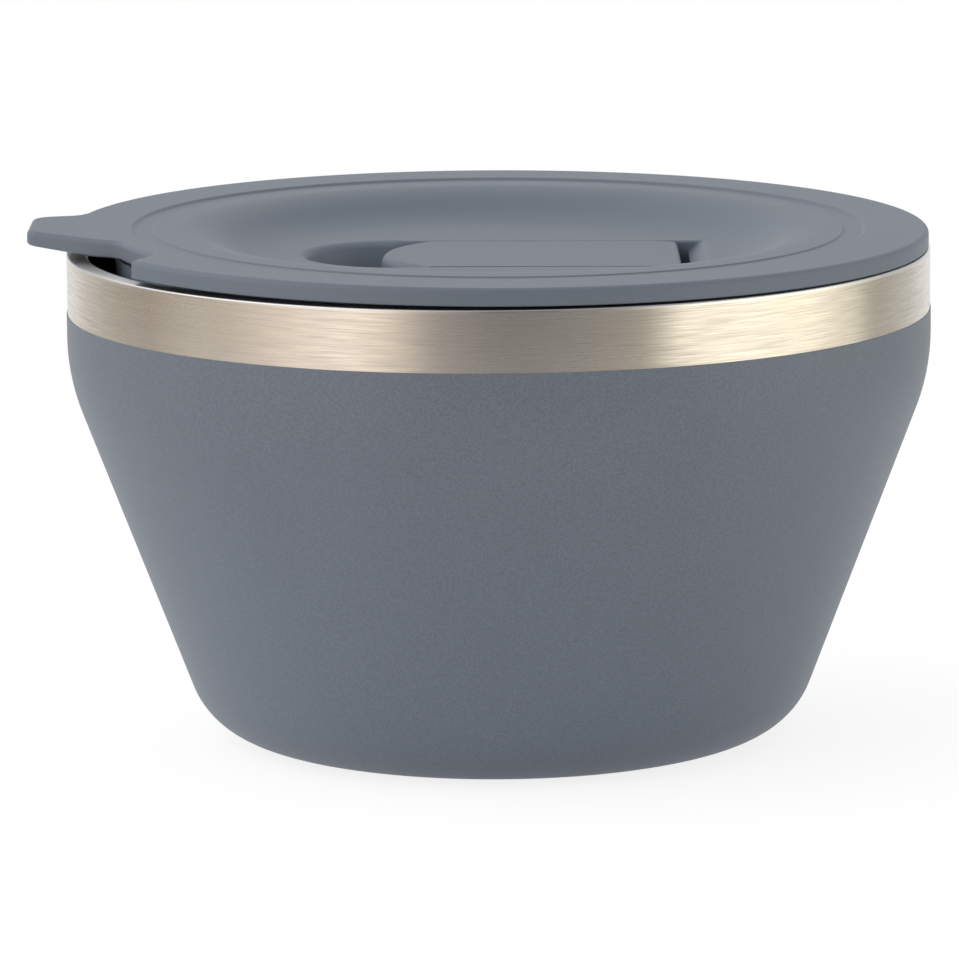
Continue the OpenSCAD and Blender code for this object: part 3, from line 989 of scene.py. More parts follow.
@dataclass
class LidMoulding:
    """The lid's moulding: flange with tab and notch, groove, dish, pocket and skirt."""

    palette: Palette
    sizes: LidSizes
    pocket_wall: float = 2.0
    scoop_x: float = -18.0
    scoop_draft: float = 3.0
    scoop_edge: float = 1.2
    side_edge: float = 0.5
    ramp_edge: float = 1.5
    mouth_corner: float = 0.6
    ramp_top: float = 4.7
    ramp_foot: float = 2.0
    ramp_height: float = 2.3
    boss: float = 2.5
    boss_reach: float = 2.0
    pin: float = 1.05
    pin_hold: float = 2.8
    tab_length: float = 6.8
    tab_half: float = 9.2
    tab_taper: float = 30.6
    tab_front_corner: float = 4.0
    tab_back_corner: float = 6.0
    tab_blend: float = 5.0
    tab_lift: float = 0.45
    tab_tip_thick: float = 2.5
    tab_root: float = 5.0
    tab_edge: float = 0.85
    tab_under_edge: float = 0.45
    tab_closing: float = 0.96
    rim_angle: float = 60.0
    groove_lean: float = 50.0
    sink: float = 0.04
    land_start: float = 48.0
    notch_land: float = 1.3
    notch_blend: float = 4.0
    notch_corner: float = 2.0
    notch_edge: float = 0.9
    notch_under_edge: float = 0.6
    notch_turn: float = 30.0
    notch_end: float = 34.0
    notch_near: float = 4.0
    notch_over: float = 6.0
    notch_inset: float = 6.0
    notch_closing: float = 0.95
    corner_sweep: float = 14.0
    mouth_rise: float = 0.5
    mouth_flare: float = 4.6
    mouth_depths: tuple[float, ...] = (0.03, 0.08, 0.16, 0.26, 0.4, 0.55, 0.75, 0.95, 1.2, 1.6)
    shell_drop: float = 0.8
    space_rise: float = 0.3
    mouth_over: float = 0.2
    corner_steps: int = 5
    scoop_steps: int = 32
    vent_reach: float = 4.0
    near: float = 0.1
    sliver: float = 0.01
    overrun: float = 1.0
    steps: int = 288

    def disc(self) -> bmesh.types.BMesh:
        """Spins the lid's half section.

        Returns:
            Flange, groove, ring, dish and skirt as one closed mesh.
        """
        s = self.sizes
        turn = math.degrees(s.slope_turn)
        concave, convex = (s.dish_floor, s.floor + s.slope), (s.dish, s.ring - s.slope)
        rise = Vector((math.sin(s.slope_turn), -math.cos(s.slope_turn)))
        line = Outline(0.0, s.floor).line(s.dish_floor, s.floor).arc(concave, turn, 10)
        line.line(convex[0] - s.slope * rise[0], convex[1] - s.slope * rise[1]).arc(convex, -turn, 10)
        ring_edge, low = s.groove - s.groove_width, s.thick - s.groove_depth
        lean = math.radians(self.groove_lean)
        for edge, start, end in ((ring_edge, s.ring, low), (s.groove, low, s.thick)):
            bend = (end - start) / (2.0 - 2.0 * math.cos(lean))
            run, swing = abs(bend) * math.sin(lean), math.copysign(self.groove_lean, bend)
            line.line(edge - run, start).arc((edge - run, start + bend), swing, 5)
            line.arc((edge + run, end - bend), -swing, 5)
        line.line(s.radius - s.edge, s.thick).arc((s.radius - s.edge, s.thick - s.edge), -90.0, 8)
        line.line(s.radius, s.under_edge).arc((s.radius - s.under_edge, s.under_edge), -90.0, 5)
        rib = s.skirt + s.rib
        for radius, height in (
            (s.skirt, 0.0), (s.skirt, s.high_rib + s.rib_thick), (rib, s.high_rib + s.rib_thick),
            (rib, s.high_rib), (s.skirt, s.high_rib), (s.skirt, s.low_rib), (rib, s.low_rib),
            (rib, -s.skirt_depth), (s.skirt - s.skirt_wall, -s.skirt_depth),
            (s.skirt - s.skirt_wall, s.ring - s.wall), (s.dish, s.ring - s.wall),
        ):
            line.line(radius, height)
        line.arc(convex, turn, 10)
        outer = s.slope + s.wall
        line.line(concave[0] + outer * rise[0], concave[1] + outer * rise[1]).arc(concave, -turn, 10)
        return line.line(0.0, s.floor - s.wall).spun(self.steps)

    def tab_blend_into(self, circle: float, blend: float) -> tuple[Vector, Vector, Vector]:
        """Finds the hollow blend between the tab's back side and a circle about the lid's axis.

        Args:
            circle: Radius of the circle.
            blend: Radius of the blend.

        Returns:
            Centre of the blend, and where it touches the tab's side and the circle.
        """
        slope = math.radians(self.tab_taper)
        side = Vector((math.cos(slope), math.sin(slope)))
        normal = side.orthogonal()
        start = Vector((-self.sizes.radius - self.tab_length, self.tab_half)) + blend * normal
        along, reach = start.dot(side), circle + blend - self.sink
        centre = start - (along + math.sqrt(along * along + reach * reach - start.dot(start))) * side
        return centre, centre - blend * normal, centre - blend * centre.normalized()

    def tab(self) -> bmesh.types.BMesh:
        """Makes the pull tab with the land that it grows from, rising and thinning towards its tip.

        Returns:
            A closed mesh with its edges rounded.
        """
        s = self.sizes
        slope = math.radians(self.tab_taper)
        front, far = self.tab_front_corner, self.tab_back_corner
        tip, root, land = s.radius + self.tab_length, s.skirt - s.skirt_wall, s.skirt + self.notch_land
        rise, start = s.radius - self.tab_root, math.radians(self.land_start)
        front_y, far_y = (
            self.tab_half + corner * math.tan(slope) - corner / math.cos(slope) for corner in (front, far)
        )
        hollow, on_side, on_land = self.tab_blend_into(land, self.notch_blend)
        back, on_back, on_flange = self.tab_blend_into(s.radius, self.tab_blend)
        mirror = Vector((1.0, -1.0))
        plan = Plan(-root * math.cos(start), -root * math.sin(start))
        plan.line(-land * math.cos(start), -land * math.sin(start))
        plan.arc((0.0, 0.0), math.degrees(math.atan2(on_land.y, -on_land.x)) - self.land_start, 12)
        plan.arc_to(hollow * mirror, on_side * mirror, 10)
        plan.line(front - tip - front * math.sin(slope), -front_y - front * math.cos(slope))
        plan.arc((front - tip, -front_y), self.tab_taper - 90.0, 12).line(-tip, far_y)
        plan.arc((far - tip, far_y), self.tab_taper - 90.0, 12).line(*on_back)
        plan.arc_to(back, on_flange, 12).line(*(on_flange.normalized() * root))
        end = math.atan2(on_flange.y, -on_flange.x)
        sweep = self.land_start + math.degrees(end)
        mesh = plan.arc((0.0, 0.0), sweep * self.tab_closing, 24).raised(0.0, s.thick)
        bmesh.ops.bisect_plane(
            mesh, geom=mesh.verts[:] + mesh.edges[:] + mesh.faces[:], dist=MERGE_GAP,
            plane_co=(-rise, 0.0, 0.0), plane_no=(1.0, 0.0, 0.0),
        )
        for vert in mesh.verts:
            share = max(0.0, -vert.co.x - rise) / (tip - rise)
            top = vert.co.z > s.thick / 2.0
            vert.co.z += share * (self.tab_lift if top else s.thick + self.tab_lift - self.tab_tip_thick)
        for radius, top in ((self.tab_edge, True), (self.tab_under_edge, False)):
            picked = [
                edge for edge in mesh.edges
                if edge.calc_face_angle() > math.radians(self.rim_angle)
                and abs(edge.verts[0].co.z - edge.verts[1].co.z) < self.tab_lift + 0.5
                and all((vert.co.z > s.thick * 0.6) == top for vert in edge.verts)
                and self.is_tab_rim(middle_of(edge), land, end - 0.001)
            ]
            rounded(mesh, picked, radius, 5)
        return mesh

    def is_tab_rim(self, middle: Vector, land: float, last: float) -> bool:
        """Says whether an edge with that middle is on the rim of the tab or its land."""
        azimuth = math.atan2(middle.y, -middle.x)
        first = -math.radians(self.land_start - self.near)
        return middle.xy.length > land - self.near and first < azimuth < last

    def flange_corner(self) -> bmesh.types.BMesh:
        """Makes the block that keeps the flange beside the notch, with its corner and top edge rounded.

        Returns:
            A closed mesh.
        """
        s = self.sizes
        turn, end = math.radians(self.notch_turn), math.radians(self.notch_end)
        inner = -(s.skirt + self.notch_land) * Vector((math.cos(turn), math.sin(turn)))
        outer = -s.radius * Vector((math.cos(end), math.sin(end)))
        along = (outer - inner).normalized()
        normal = along.orthogonal()
        corner, reach = self.notch_corner, s.radius - self.notch_corner * 0.99
        start = inner + corner * normal
        ahead = start.dot(along)
        run = math.sqrt(ahead * ahead + reach * reach - start.dot(start)) - ahead
        centre = start + run * along
        base = inner - self.notch_inset * along
        plan = Plan(*base).line(*(centre - corner * normal))
        plan.arc_to(centre, centre + corner * centre.normalized(), 8)
        plan.arc((0.0, 0.0), self.corner_sweep, 10)
        last = plan.tip.co.xy.normalized() * s.dish
        mesh = plan.line(*last).raised(-2.0 * self.overrun, s.thick + self.sliver)
        picked = [
            edge for edge in mesh.edges
            if all(vert.co.z > s.thick for vert in edge.verts)
            and min(vert.co.xy.length for vert in edge.verts) > s.dish + 4.0
        ]
        rounded(mesh, picked, self.notch_edge, 5)
        return mesh

    def notch(self) -> bmesh.types.BMesh:
        """Makes the block that cuts the flange between the tab and the notch's far side.

        Returns:
            A closed mesh.
        """
        s = self.sizes
        tip, root, far = s.radius + self.tab_length, s.skirt - s.skirt_wall + self.overrun, s.radius * 2.0
        start, near = math.radians(self.notch_end + self.notch_over), math.radians(self.notch_near)
        plan = Plan(-root * math.cos(near), -root * math.sin(near)).line(-tip * 1.2, -self.tab_half * 0.5)
        plan.line(-far, -self.tab_half).line(-far, -far)
        plan.line(-far * math.cos(start), -far * math.sin(start))
        plan.line(-root * math.cos(start), -root * math.sin(start))
        plan.arc((0.0, 0.0), -(self.notch_end + 2.0) * self.notch_closing, 16)
        return plan.raised(-self.overrun, s.thick + self.overrun)

    def pocket(self, wall: float, top: float) -> bmesh.types.BMesh:
        """Makes the pocket's space under the flap, grown by a wall.

        Args:
            wall: Wall to grow the space by.
            top: Height at which it ends.

        Returns:
            A closed mesh.
        """
        s = self.sizes
        half, nose = s.pocket_half + wall, s.nose + s.flap_gap + wall
        angle = math.degrees(math.asin(half / nose))
        back = self.ramp_foot + s.flap_end + wall
        plan = Plan(back, -half).line(back, half)
        plan.line(s.nose_x - nose * math.cos(math.radians(angle)), half)
        plan.arc((s.nose_x, 0.0), 2.0 * angle, 24)
        return plan.raised(s.pocket_floor - wall, top)

    def ramp(self, wall: float, top: float) -> bmesh.types.BMesh:
        """Makes the space over the ramp behind the flap, grown by a wall.

        Args:
            wall: Wall to grow the space by.
            top: Height at which it ends.

        Returns:
            A closed mesh.
        """
        s = self.sizes
        half, back = s.pocket_half + wall, s.flap_end + wall
        foot = s.floor - self.ramp_height - wall
        plan = Plan(s.flap_end, foot).line(back + self.ramp_foot, foot)
        plan.line(back + self.ramp_top, s.floor - wall).line(back + self.ramp_top, top)
        plan.line(s.flap_end, top)
        mesh = plan.raised(-half, half)
        bmesh.ops.transform(mesh, matrix=Matrix.Rotation(math.pi / 2.0, 4, "X"), verts=mesh.verts[:])
        return mesh

    def scoop(self, wall: float, top: float) -> bmesh.types.BMesh:
        """Makes the space for the fingertip, which narrows downwards, grown by a wall.

        Args:
            wall: Wall to grow the space by.
            top: Height at which it ends.

        Returns:
            A closed mesh.
        """
        s = self.sizes
        slope = self.scoop_draft / s.pocket_depth
        foot, base = s.pocket_floor - wall, s.pocket_half - self.scoop_draft + wall
        narrow, wide = base - wall * slope, base + (top - s.pocket_floor) * slope
        mesh = Outline(0.0, foot).line(narrow, foot).line(wide, top).line(0.0, top).spun(128)
        bmesh.ops.translate(mesh, vec=(self.scoop_x, 0.0, 0.0), verts=mesh.verts[:])
        return mesh

    def under_corner(self, middle: Vector) -> bool:
        """Says whether an edge is a bottom edge of the flange beside the notch."""
        s = self.sizes
        azimuth = math.degrees(math.atan2(-middle.y, -middle.x))
        beside = self.notch_turn - 1.0 < azimuth < self.notch_end + 0.2
        return abs(middle.z) < 0.05 and beside and middle.xy.length > s.skirt + self.notch_land + 0.2

    def mouth_ring(self, depth: float, flare: float) -> list[Vector]:
        """Draws the mouth of scoop, pocket and ramp at one depth.

        Args:
            depth: Depth below the dish's floor.
            flare: Distance by which the outline is drawn wider.

        Returns:
            Points around the mouth, from its right end over the near side.
        """
        s = self.sizes
        lean = self.ramp_top - self.ramp_foot
        turn = math.atan2(self.ramp_height, lean)
        lip = self.ramp_edge * math.tan(turn / 2.0)
        end = s.flap_end + self.ramp_top - depth * lean / self.ramp_height
        if depth < lip * math.sin(turn):
            end = s.flap_end + self.ramp_top + lip
            end -= math.sqrt(self.ramp_edge**2 - (self.ramp_edge - depth) ** 2)
        scoop = s.pocket_half - self.scoop_draft * depth / s.pocket_depth
        scoop += self.rounding(self.scoop_edge, depth) + flare
        side = self.rounding(self.side_edge, depth) + flare
        half, nose, end = s.pocket_half + side, s.nose + s.flap_gap + side, end + flare
        corner = self.mouth_corner + max(side, 0.0)
        half_ring = []
        for step in range(self.corner_steps + 1):
            turned = math.pi / 2.0 * step / self.corner_steps
            across, along = corner * math.cos(turned), corner * math.sin(turned)
            half_ring.append(Vector((end - corner + across, half - corner + along)))
        half_ring.append(Vector((s.nose_x - math.sqrt(nose**2 - half**2), half)))
        for step in range(self.scoop_steps + 1):
            turned = math.pi / 2.0 * (1.0 - step / self.scoop_steps)
            half_ring.append(Vector((self.scoop_x - scoop * math.cos(turned), scoop * math.sin(turned))))
        mirrored = [Vector((point.x, -point.y)) for point in half_ring[:-1]]
        return half_ring + mirrored[::-1]

    def rounding(self, radius: float, depth: float) -> float:
        """Distance by which a rounded lip stands back at a depth."""
        if depth >= radius:
            return -self.sliver
        return radius - math.sqrt(radius**2 - (radius - depth) ** 2)

    def mouth(self) -> bmesh.types.BMesh:
        """Makes the block that opens the mouth with its rounded lips and the ramp.

        Returns:
            A closed mesh.
        """
        s = self.sizes
        first, rise = self.mouth_depths[0], self.mouth_rise
        rings = [(self.mouth_ring(first, rise * self.mouth_flare), s.floor - first + rise)]
        for depth in (*self.mouth_depths, self.ramp_height + self.mouth_over):
            rings.append((self.mouth_ring(depth, 0.0), s.floor - depth))
        mesh = bmesh.new()
        rows = [[mesh.verts.new((point.x, point.y, height)) for point in ring] for ring, height in rings]
        for upper, lower in zip(rows, rows[1:]):
            for here, there in zip(range(len(upper)), [*range(1, len(upper)), 0]):
                mesh.faces.new((upper[here], upper[there], lower[there], lower[here]))
        mesh.faces.new(rows[0])
        mesh.faces.new(rows[-1][::-1])
        bmesh.ops.recalc_face_normals(mesh, faces=mesh.faces[:])
        return mesh

    def build(self) -> None:
        """Builds the moulding and rounds its edges."""
        s = self.sizes
        piece = Workpiece("lid_moulding", self.disc())
        notch = Workpiece("notch_block", self.notch())
        notch.combine(Workpiece("flange_corner", self.flange_corner()), Joining.CUT)
        piece.combine(notch, Joining.CUT)
        piece.round_edges(self.under_corner, self.notch_under_edge, 4)
        piece.combine(Workpiece("tab", self.tab()), Joining.ADD)
        below, above = s.floor - self.shell_drop, s.floor + self.space_rise
        for name, mesh in (
            ("pocket_shell", self.pocket(self.pocket_wall, below)),
            ("scoop_shell", self.scoop(self.pocket_wall, below)),
            ("ramp_shell", self.ramp(self.pocket_wall, below)),
            ("bosses", rod(self.boss, s.pocket_half + self.pocket_wall + self.boss_reach, *s.hinge, 32)),
        ):
            piece.combine(Workpiece(name, mesh), Joining.ADD)
        vent_low, vent_high = s.pocket_floor - self.vent_reach, s.pocket_floor + self.vent_reach
        for name, mesh in (
            ("pocket_space", self.pocket(0.0, above)),
            ("scoop_space", self.scoop(0.0, above)),
            ("pin_bore", rod(self.pin, s.pocket_half + self.pin_hold, *s.hinge, 32)),
            ("vent_hole", column(s.vent, s.vent_x, vent_low, vent_high, 64)),
        ):
            piece.combine(Workpiece(name, mesh), Joining.CUT)
        piece.combine(Workpiece("mouth_space", self.mouth()), Joining.CUT)
        piece.handed_over(Body.LID, Slot.LID, self.palette, ["lid_body"], s.place)


@dataclass
class LidGasket:
    """The silicone ring in the skirt's channel."""

    palette: Palette
    sizes: LidSizes
    reach: float = 4.3
    ring: float = 2.0
    clearance: float = 0.05
    root: float = 0.9
    lip: float = 0.5
    rise: float = 0.5
    steps: int = 256

    def build(self) -> None:
        """Spins the ring with its two rounded lips."""
        s = self.sizes
        inner, body, outer = s.skirt, s.skirt + self.ring, s.skirt + self.reach
        low, high = s.low_rib + self.clearance, s.high_rib - self.clearance
        half = self.lip / 2.0
        line = Outline(inner, low)
        for base in (low, high - self.root):
            line.line(body, base).line(outer - half, base + self.rise)
            line.arc((outer - half, base + self.rise + half), 180.0, 6).line(body, base + self.root)
        line.line(inner, high).close()
        piece = Workpiece("gasket_ring", line.spun(self.steps))
        piece.handed_over(Body.LID, Slot.SILICONE, self.palette, ["lid_gasket"], s.place)


@dataclass
class VentFlap:
    """The flap in the dish, with its rolled nose, barrel, stud and plug."""

    palette: Palette
    sizes: LidSizes
    roll: float = 1.6
    lip_depth: float = 4.0
    lip_width: float = 2.0
    barrel: float = 2.2
    pin: float = 1.0
    stud: float = 1.8
    stud_in: float = 0.4
    plug_nose: float = 1.5
    plug_inset: float = 1.2
    end_corner: float = 2.0
    end_roll: float = 0.8
    side_roll: float = 0.35
    plug_edge: float = 0.3
    seat_in: float = 0.2
    stud_root: float = 0.1
    near: float = 0.05
    overrun: float = 1.0

    def panel(self, low: float, nose: float) -> bmesh.types.BMesh:
        """Makes the flap's plan as a prism up to its top.

        Args:
            low: Height of the prism's underside.
            nose: Radius of its nose.

        Returns:
            A closed mesh.
        """
        s = self.sizes
        angle = math.degrees(math.asin(s.flap_half / nose))
        end, half = s.flap_end - self.end_corner, s.flap_half - self.end_corner
        plan = Plan(end, -s.flap_half).arc((end, -half), 90.0, 8).line(s.flap_end, half)
        plan.arc((end, half), 90.0, 8).line(s.nose_x - nose * math.cos(math.radians(angle)), s.flap_half)
        return plan.arc((s.nose_x, 0.0), 2.0 * angle, 32).raised(low, s.floor)

    def hollow(self) -> bmesh.types.BMesh:
        """Makes the block that hollows the panel behind its nose lip.

        Returns:
            A closed mesh.
        """
        s = self.sizes
        nose, half = s.nose - self.lip_width, s.flap_half + self.overrun
        plan = Plan(s.flap_end + self.overrun, -half).line(s.flap_end + self.overrun, half)
        angle = math.degrees(math.asin(half / nose))
        plan.line(s.nose_x - nose * math.cos(math.radians(angle)), half)
        plan.arc((s.nose_x, 0.0), 2.0 * angle, 32)
        return plan.raised(s.floor - self.lip_depth - self.overrun, s.floor - s.flap_thick)

    def build(self) -> None:
        """Builds the panel and the plug."""
        self.build_panel()
        self.build_plug()

    def build_panel(self) -> None:
        """Builds the flap with its rolled nose and softened edges."""
        s = self.sizes
        under, seat_low = s.floor - s.flap_thick, s.plug_low + s.plug_thick
        piece = Workpiece("flap_panel", self.panel(s.floor - self.lip_depth, s.nose))
        piece.combine(Workpiece("hollow", self.hollow()), Joining.CUT)
        piece.round_edges(self.on_nose, self.roll, 8)
        piece.round_edges(self.under_nose, self.roll, 6)
        piece.round_edges(self.on_sides, self.side_roll, 3)
        piece.round_edges(self.on_end, self.end_roll, 5)
        for name, mesh in (
            ("barrel", rod(self.barrel, s.flap_half - 0.01, *s.hinge, 48)),
            ("plug_seat", column(s.vent + s.plug_lap, s.vent_x, seat_low, under + self.seat_in, 64)),
            ("stud", column(self.stud, s.vent_x, s.plug_low - self.stud_in, under + self.stud_root, 32)),
        ):
            piece.combine(Workpiece(name, mesh), Joining.ADD)
        bore = rod(self.pin, s.flap_half + self.overrun, *s.hinge, 32)
        piece.combine(Workpiece("bore", bore), Joining.CUT)
        piece.handed_over(Body.FLAP, Slot.LID, self.palette, ["vent_flap"], s.place)

    def at_nose(self, middle: Vector) -> bool:
        """Says whether a place is on the wall round the nose."""
        s = self.sizes
        reach = math.hypot(middle.x - s.nose_x, middle.y)
        return abs(reach - s.nose) < 0.1 and middle.x < s.nose_x

    def on_nose(self, middle: Vector) -> bool:
        """Says whether an edge is the top edge of the nose."""
        return middle.z > self.sizes.floor - self.near and self.at_nose(middle)

    def under_nose(self, middle: Vector) -> bool:
        """Says whether an edge is the bottom edge of the nose."""
        return middle.z < self.sizes.floor - self.lip_depth + self.near and self.at_nose(middle)

    def on_sides(self, middle: Vector) -> bool:
        """Says whether an edge is a top edge of the flap's sides."""
        s = self.sizes
        on_side = abs(middle.y) > s.flap_half - self.near
        along = s.nose_x < middle.x < s.flap_end - self.end_corner
        return middle.z > s.floor - self.near and on_side and along

    def on_end(self, middle: Vector) -> bool:
        """Says whether an edge is a top edge of the flap's hinged end."""
        s = self.sizes
        return middle.z > s.floor - self.near and middle.x > s.flap_end - self.end_corner

    def build_plug(self) -> None:
        """Builds the silicone plug under the flap."""
        s = self.sizes
        head, high, low = s.vent + s.plug_lap, s.plug_low + s.plug_thick, s.plug_low
        soft, nose_low = self.plug_edge, s.plug_low - self.plug_nose
        line = Outline(self.stud, high).line(head, high).line(head, low + soft)
        line.arc((head - soft, low + soft), -90.0, 4).line(s.vent - 2.0 * s.plug_gap, low)
        line.line(s.vent - self.plug_inset, nose_low + soft / 2.0)
        line.line(s.vent - self.plug_inset - soft, nose_low).line(0.0, nose_low)
        line.line(0.0, low - self.stud_in).line(self.stud, low - self.stud_in).close()
        mesh = line.spun(64)
        bmesh.ops.translate(mesh, vec=(s.vent_x, 0.0, 0.0), verts=mesh.verts[:])
        Workpiece("plug", mesh).handed_over(Body.FLAP, Slot.SILICONE, self.palette, ["vent_plug"], s.place)


# ---------------------------------------------------------------- the studio


@dataclass(frozen=True)
class SoftBox:
    """Square area lamp that points at the bowl."""

    name: str
    place: tuple[float, float, float]
    size: float
    power: float

    def hang(self) -> None:
        """Adds the lamp to the scene."""
        data = bpy.data.lights.new(self.name, "AREA")
        data.size = self.size
        data.energy = self.power
        lamp = bpy.data.objects.new(self.name, data)
        lamp.location = self.place
        aim = Vector((0.0, 0.0, 0.05)) - Vector(self.place)
        lamp.rotation_euler = aim.to_track_quat("-Z", "Y").to_euler()
        bpy.context.scene.collection.objects.link(lamp)


@dataclass
class Studio:
    """Floor, surroundings, lamps and camera."""

    floor_radius: float = 0.36
    camera_place: tuple[float, float, float] = (-0.003626, -1.181568, 0.254283)
    pitch: float = 0.175509
    roll: float = -0.0083688
    lens: float = 254.46
    sensor: float = 36.0
    low_panels: tuple[Panel, ...] = (
        (-180.0, grey(1.0)),
        (-150.0, (0.88, 0.87, 0.86)),
        (-125.0, (0.5, 0.47, 0.38)),
        (-105.0, (0.2, 0.12, 0.06)),
        (-90.0, (0.36, 0.3, 0.18)),
        (-75.0, (0.36, 0.28, 0.15)),
        (-62.0, (0.87, 0.68, 0.5)),
        (-50.0, (1.28, 1.08, 0.9)),
        (-40.0, (1.58, 1.38, 1.22)),
        (-30.0, (1.33, 1.13, 0.85)),
        (-18.0, (0.08, 0.04, 0.03)),
        (0.0, grey(0.02)),
        (20.0, grey(0.02)),
        (40.0, (0.22, 0.17, 0.08)),
        (49.0, (2.2, 2.12, 1.76)),
        (62.0, (2.2, 2.1, 1.76)),
        (75.0, (2.05, 1.97, 1.6)),
        (90.0, (1.87, 1.8, 1.43)),
        (99.0, (1.35, 1.29, 1.01)),
        (110.0, (0.95, 0.91, 0.72)),
        (115.0, (0.36, 0.34, 0.28)),
        (150.0, (0.9, 0.91, 0.89)),
        (180.0, grey(1.0)),
    )
    side_panels: tuple[Panel, ...] = (
        (-180.0, grey(0.77)),
        (-135.0, grey(0.58)),
        (-90.0, grey(1.55)),
        (-45.0, grey(1.8)),
        (0.0, grey(0.01)),
        (45.0, grey(0.66)),
        (90.0, grey(1.88)),
        (110.0, grey(1.2)),
        (116.0, grey(0.5)),
        (140.0, grey(0.6)),
        (180.0, grey(0.77)),
    )
    high_panels: tuple[Panel, ...] = (
        (-180.0, grey(0.75)),
        (-90.0, grey(1.67)),
        (0.0, grey(0.16)),
        (90.0, grey(0.52)),
        (180.0, grey(0.75)),
    )
    ceiling: Colour = grey(0.63)
    side_band: Point = (-0.02, 0.06)
    high_band: Point = (0.4, 0.5)
    ceiling_band: Point = (0.8, 0.9)
    backdrop: Point = (0.85, 0.97)
    floor_plain: Colour = grey(0.85)
    floor_shade: Colour = grey(0.3)
    floor_glow: float = 0.82
    boxes: tuple[SoftBox, ...] = (
        SoftBox("front_box", (-0.75, -0.95, 0.95), 0.22, 0.4),
    )

    def build(self) -> None:
        """Builds the studio."""
        self.build_floor()
        self.build_world()
        for box in self.boxes:
            box.hang()
        self.build_camera()
        bpy.context.scene.view_settings.view_transform = "Standard"

    def build_floor(self) -> None:
        """Lays a round pale floor that shows white and keeps the bowl's shadow."""
        mesh = bmesh.new()
        bmesh.ops.create_circle(mesh, cap_ends=True, segments=128, radius=self.floor_radius)
        data = bpy.data.meshes.new("floor")
        mesh.to_mesh(data)
        mesh.free()
        floor = bpy.data.objects.new("floor", data)
        bpy.context.scene.collection.objects.link(floor)
        paint = bpy.data.materials.new("floor_white")
        tree = ShaderTree(paint)
        rays = tree.node("LightPath")
        seen = tree.larger(rays.outputs["Is Camera Ray"], rays.outputs["Is Glossy Ray"])
        seen = tree.larger(seen, rays.outputs["Is Transmission Ray"])
        plain = tree.node("BsdfDiffuse")
        plain.inputs["Color"].default_value = (*self.floor_plain, 1.0)
        shaded = tree.node("BsdfDiffuse")
        shaded.inputs["Color"].default_value = (*self.floor_shade, 1.0)
        glow = tree.node("Emission")
        glow.inputs["Strength"].default_value = self.floor_glow
        both = tree.node("AddShader")
        tree.link(shaded.outputs["BSDF"], both.inputs[0])
        tree.link(glow.outputs["Emission"], both.inputs[1])
        choice = tree.node("MixShader")
        tree.link(seen, choice.inputs["Fac"])
        tree.link(plain.outputs["BSDF"], choice.inputs[1])
        tree.link(both.outputs["Shader"], choice.inputs[2])
        output = tree.node("OutputMaterial")
        tree.link(choice.outputs["Shader"], output.inputs["Surface"])
        data.materials.append(paint)

    def ring(self, tree: ShaderTree, share: Socket, panels: Sequence[Panel]) -> Socket:
        """Lays panels round the horizon.

        Args:
            tree: The surroundings' nodes.
            share: Azimuth as a share of the full turn, from the back over the left side.
            panels: Azimuth in degrees, anti-clockwise from the front, and colour of each panel.

        Returns:
            The colour in each direction.
        """
        ramp = tree.node("ValToRGB")
        elements = ramp.color_ramp.elements
        while len(elements) < len(panels):
            elements.new(0.5)
        for element, (azimuth, colour) in zip(elements, panels):
            element.position = (azimuth + 180.0) / 360.0
            element.color = (*colour, 1.0)
        tree.link(share, ramp.inputs["Fac"])
        return ramp.outputs["Color"]

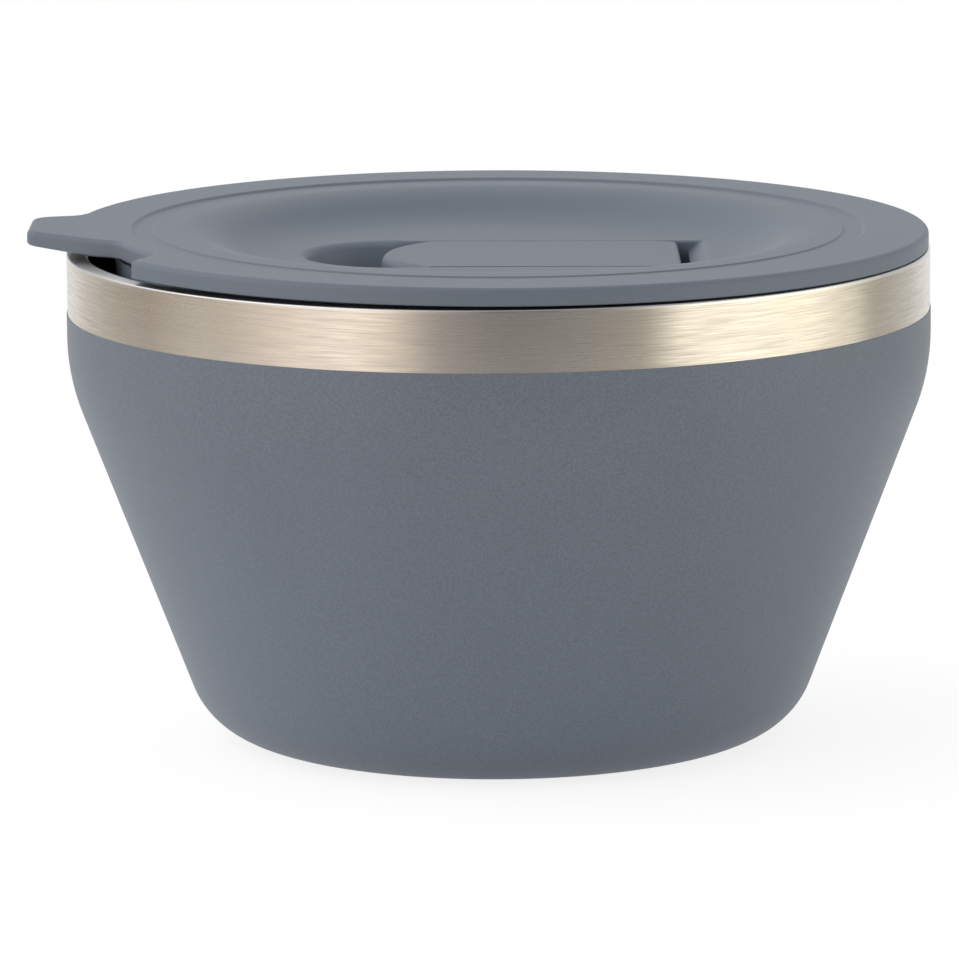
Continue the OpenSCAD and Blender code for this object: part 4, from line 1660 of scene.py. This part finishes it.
    def build_world(self) -> None:
        """Surrounds the bowl with pale panels at its sides and a dark front, before a white background."""
        world = bpy.data.worlds.new("studio")
        bpy.context.scene.world = world
        tree = ShaderTree(world)
        place = tree.node("TexCoord")
        parts = tree.node("SeparateXYZ")
        tree.link(place.outputs["Generated"], parts.inputs["Vector"])
        flipped = tree.node("Math", operation="MULTIPLY")
        flipped.inputs[1].default_value = -1.0
        tree.link(parts.outputs["Y"], flipped.inputs[0])
        azimuth = tree.node("Math", operation="ARCTAN2")
        tree.link(parts.outputs["X"], azimuth.inputs[0])
        tree.link(flipped.outputs["Value"], azimuth.inputs[1])
        share = tree.span(azimuth.outputs["Value"], (-math.pi, math.pi), (0.0, 1.0))
        shown = self.ring(tree, share, self.low_panels)
        for panels, band in (
            (self.side_panels, self.side_band),
            (self.high_panels, self.high_band),
            (((-180.0, self.ceiling), (180.0, self.ceiling)), self.ceiling_band),
        ):
            joint = tree.node("Mix", data_type="RGBA")
            tree.link(tree.span(parts.outputs["Z"], band, (0.0, 1.0)), joint.inputs["Factor"])
            tree.link(shown, joint.inputs["A"])
            tree.link(self.ring(tree, share, panels), joint.inputs["B"])
            shown = joint.outputs["Result"]
        rays = tree.node("LightPath")
        clear = tree.larger(rays.outputs["Is Glossy Ray"], rays.outputs["Is Transmission Ray"])
        behind = tree.product(clear, tree.span(parts.outputs["Y"], self.backdrop, (0.0, 1.0)))
        room = tree.node("Mix", data_type="RGBA")
        tree.link(tree.larger(rays.outputs["Is Camera Ray"], behind), room.inputs["Factor"])
        tree.link(shown, room.inputs["A"])
        room.inputs["B"].default_value = (1.0, 1.0, 1.0, 1.0)
        sky = tree.node("Background")
        tree.link(room.outputs["Result"], sky.inputs["Color"])
        output = tree.node("OutputWorld")
        tree.link(sky.outputs["Background"], output.inputs["Surface"])

    def build_camera(self) -> None:
        """Sets the camera that was fitted to the photograph."""
        data = bpy.data.cameras.new("camera")
        data.lens = self.lens
        data.sensor_width = self.sensor
        data.clip_start, data.clip_end = 0.05, 20.0
        camera = bpy.data.objects.new("camera", data)
        bpy.context.scene.collection.objects.link(camera)
        ahead = Vector((0.0, math.cos(self.pitch), -math.sin(self.pitch)))
        level, above = Vector((1.0, 0.0, 0.0)), Vector((0.0, math.sin(self.pitch), math.cos(self.pitch)))
        right = level * math.cos(self.roll) + above * math.sin(self.roll)
        up = above * math.cos(self.roll) - level * math.sin(self.roll)
        turn = Matrix((right, up, -ahead)).transposed().to_4x4()
        camera.matrix_world = Matrix.Translation(self.camera_place) @ turn
        bpy.context.scene.camera = camera


def main() -> None:
    """Loads the frame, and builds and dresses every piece."""
    logging.basicConfig(level=logging.INFO, format="%(name)s: %(message)s")
    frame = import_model()
    palette = Palette()
    slots = {part["node"]: Slot(part["material_slot"]) for part in frame["record"]["subparts"]}
    for name, node in frame["nodes"].items():
        palette.dress_node(node, slots[name])
        LOG.info("%s: node of the frame, finish %s", name, slots[name].value)
    sizes = LidSizes()
    BowlShell(palette).build()
    LidMoulding(palette, sizes).build()
    LidGasket(palette, sizes).build()
    VentFlap(palette, sizes).build()
    Studio().build()


if __name__ == "__main__":
    main()
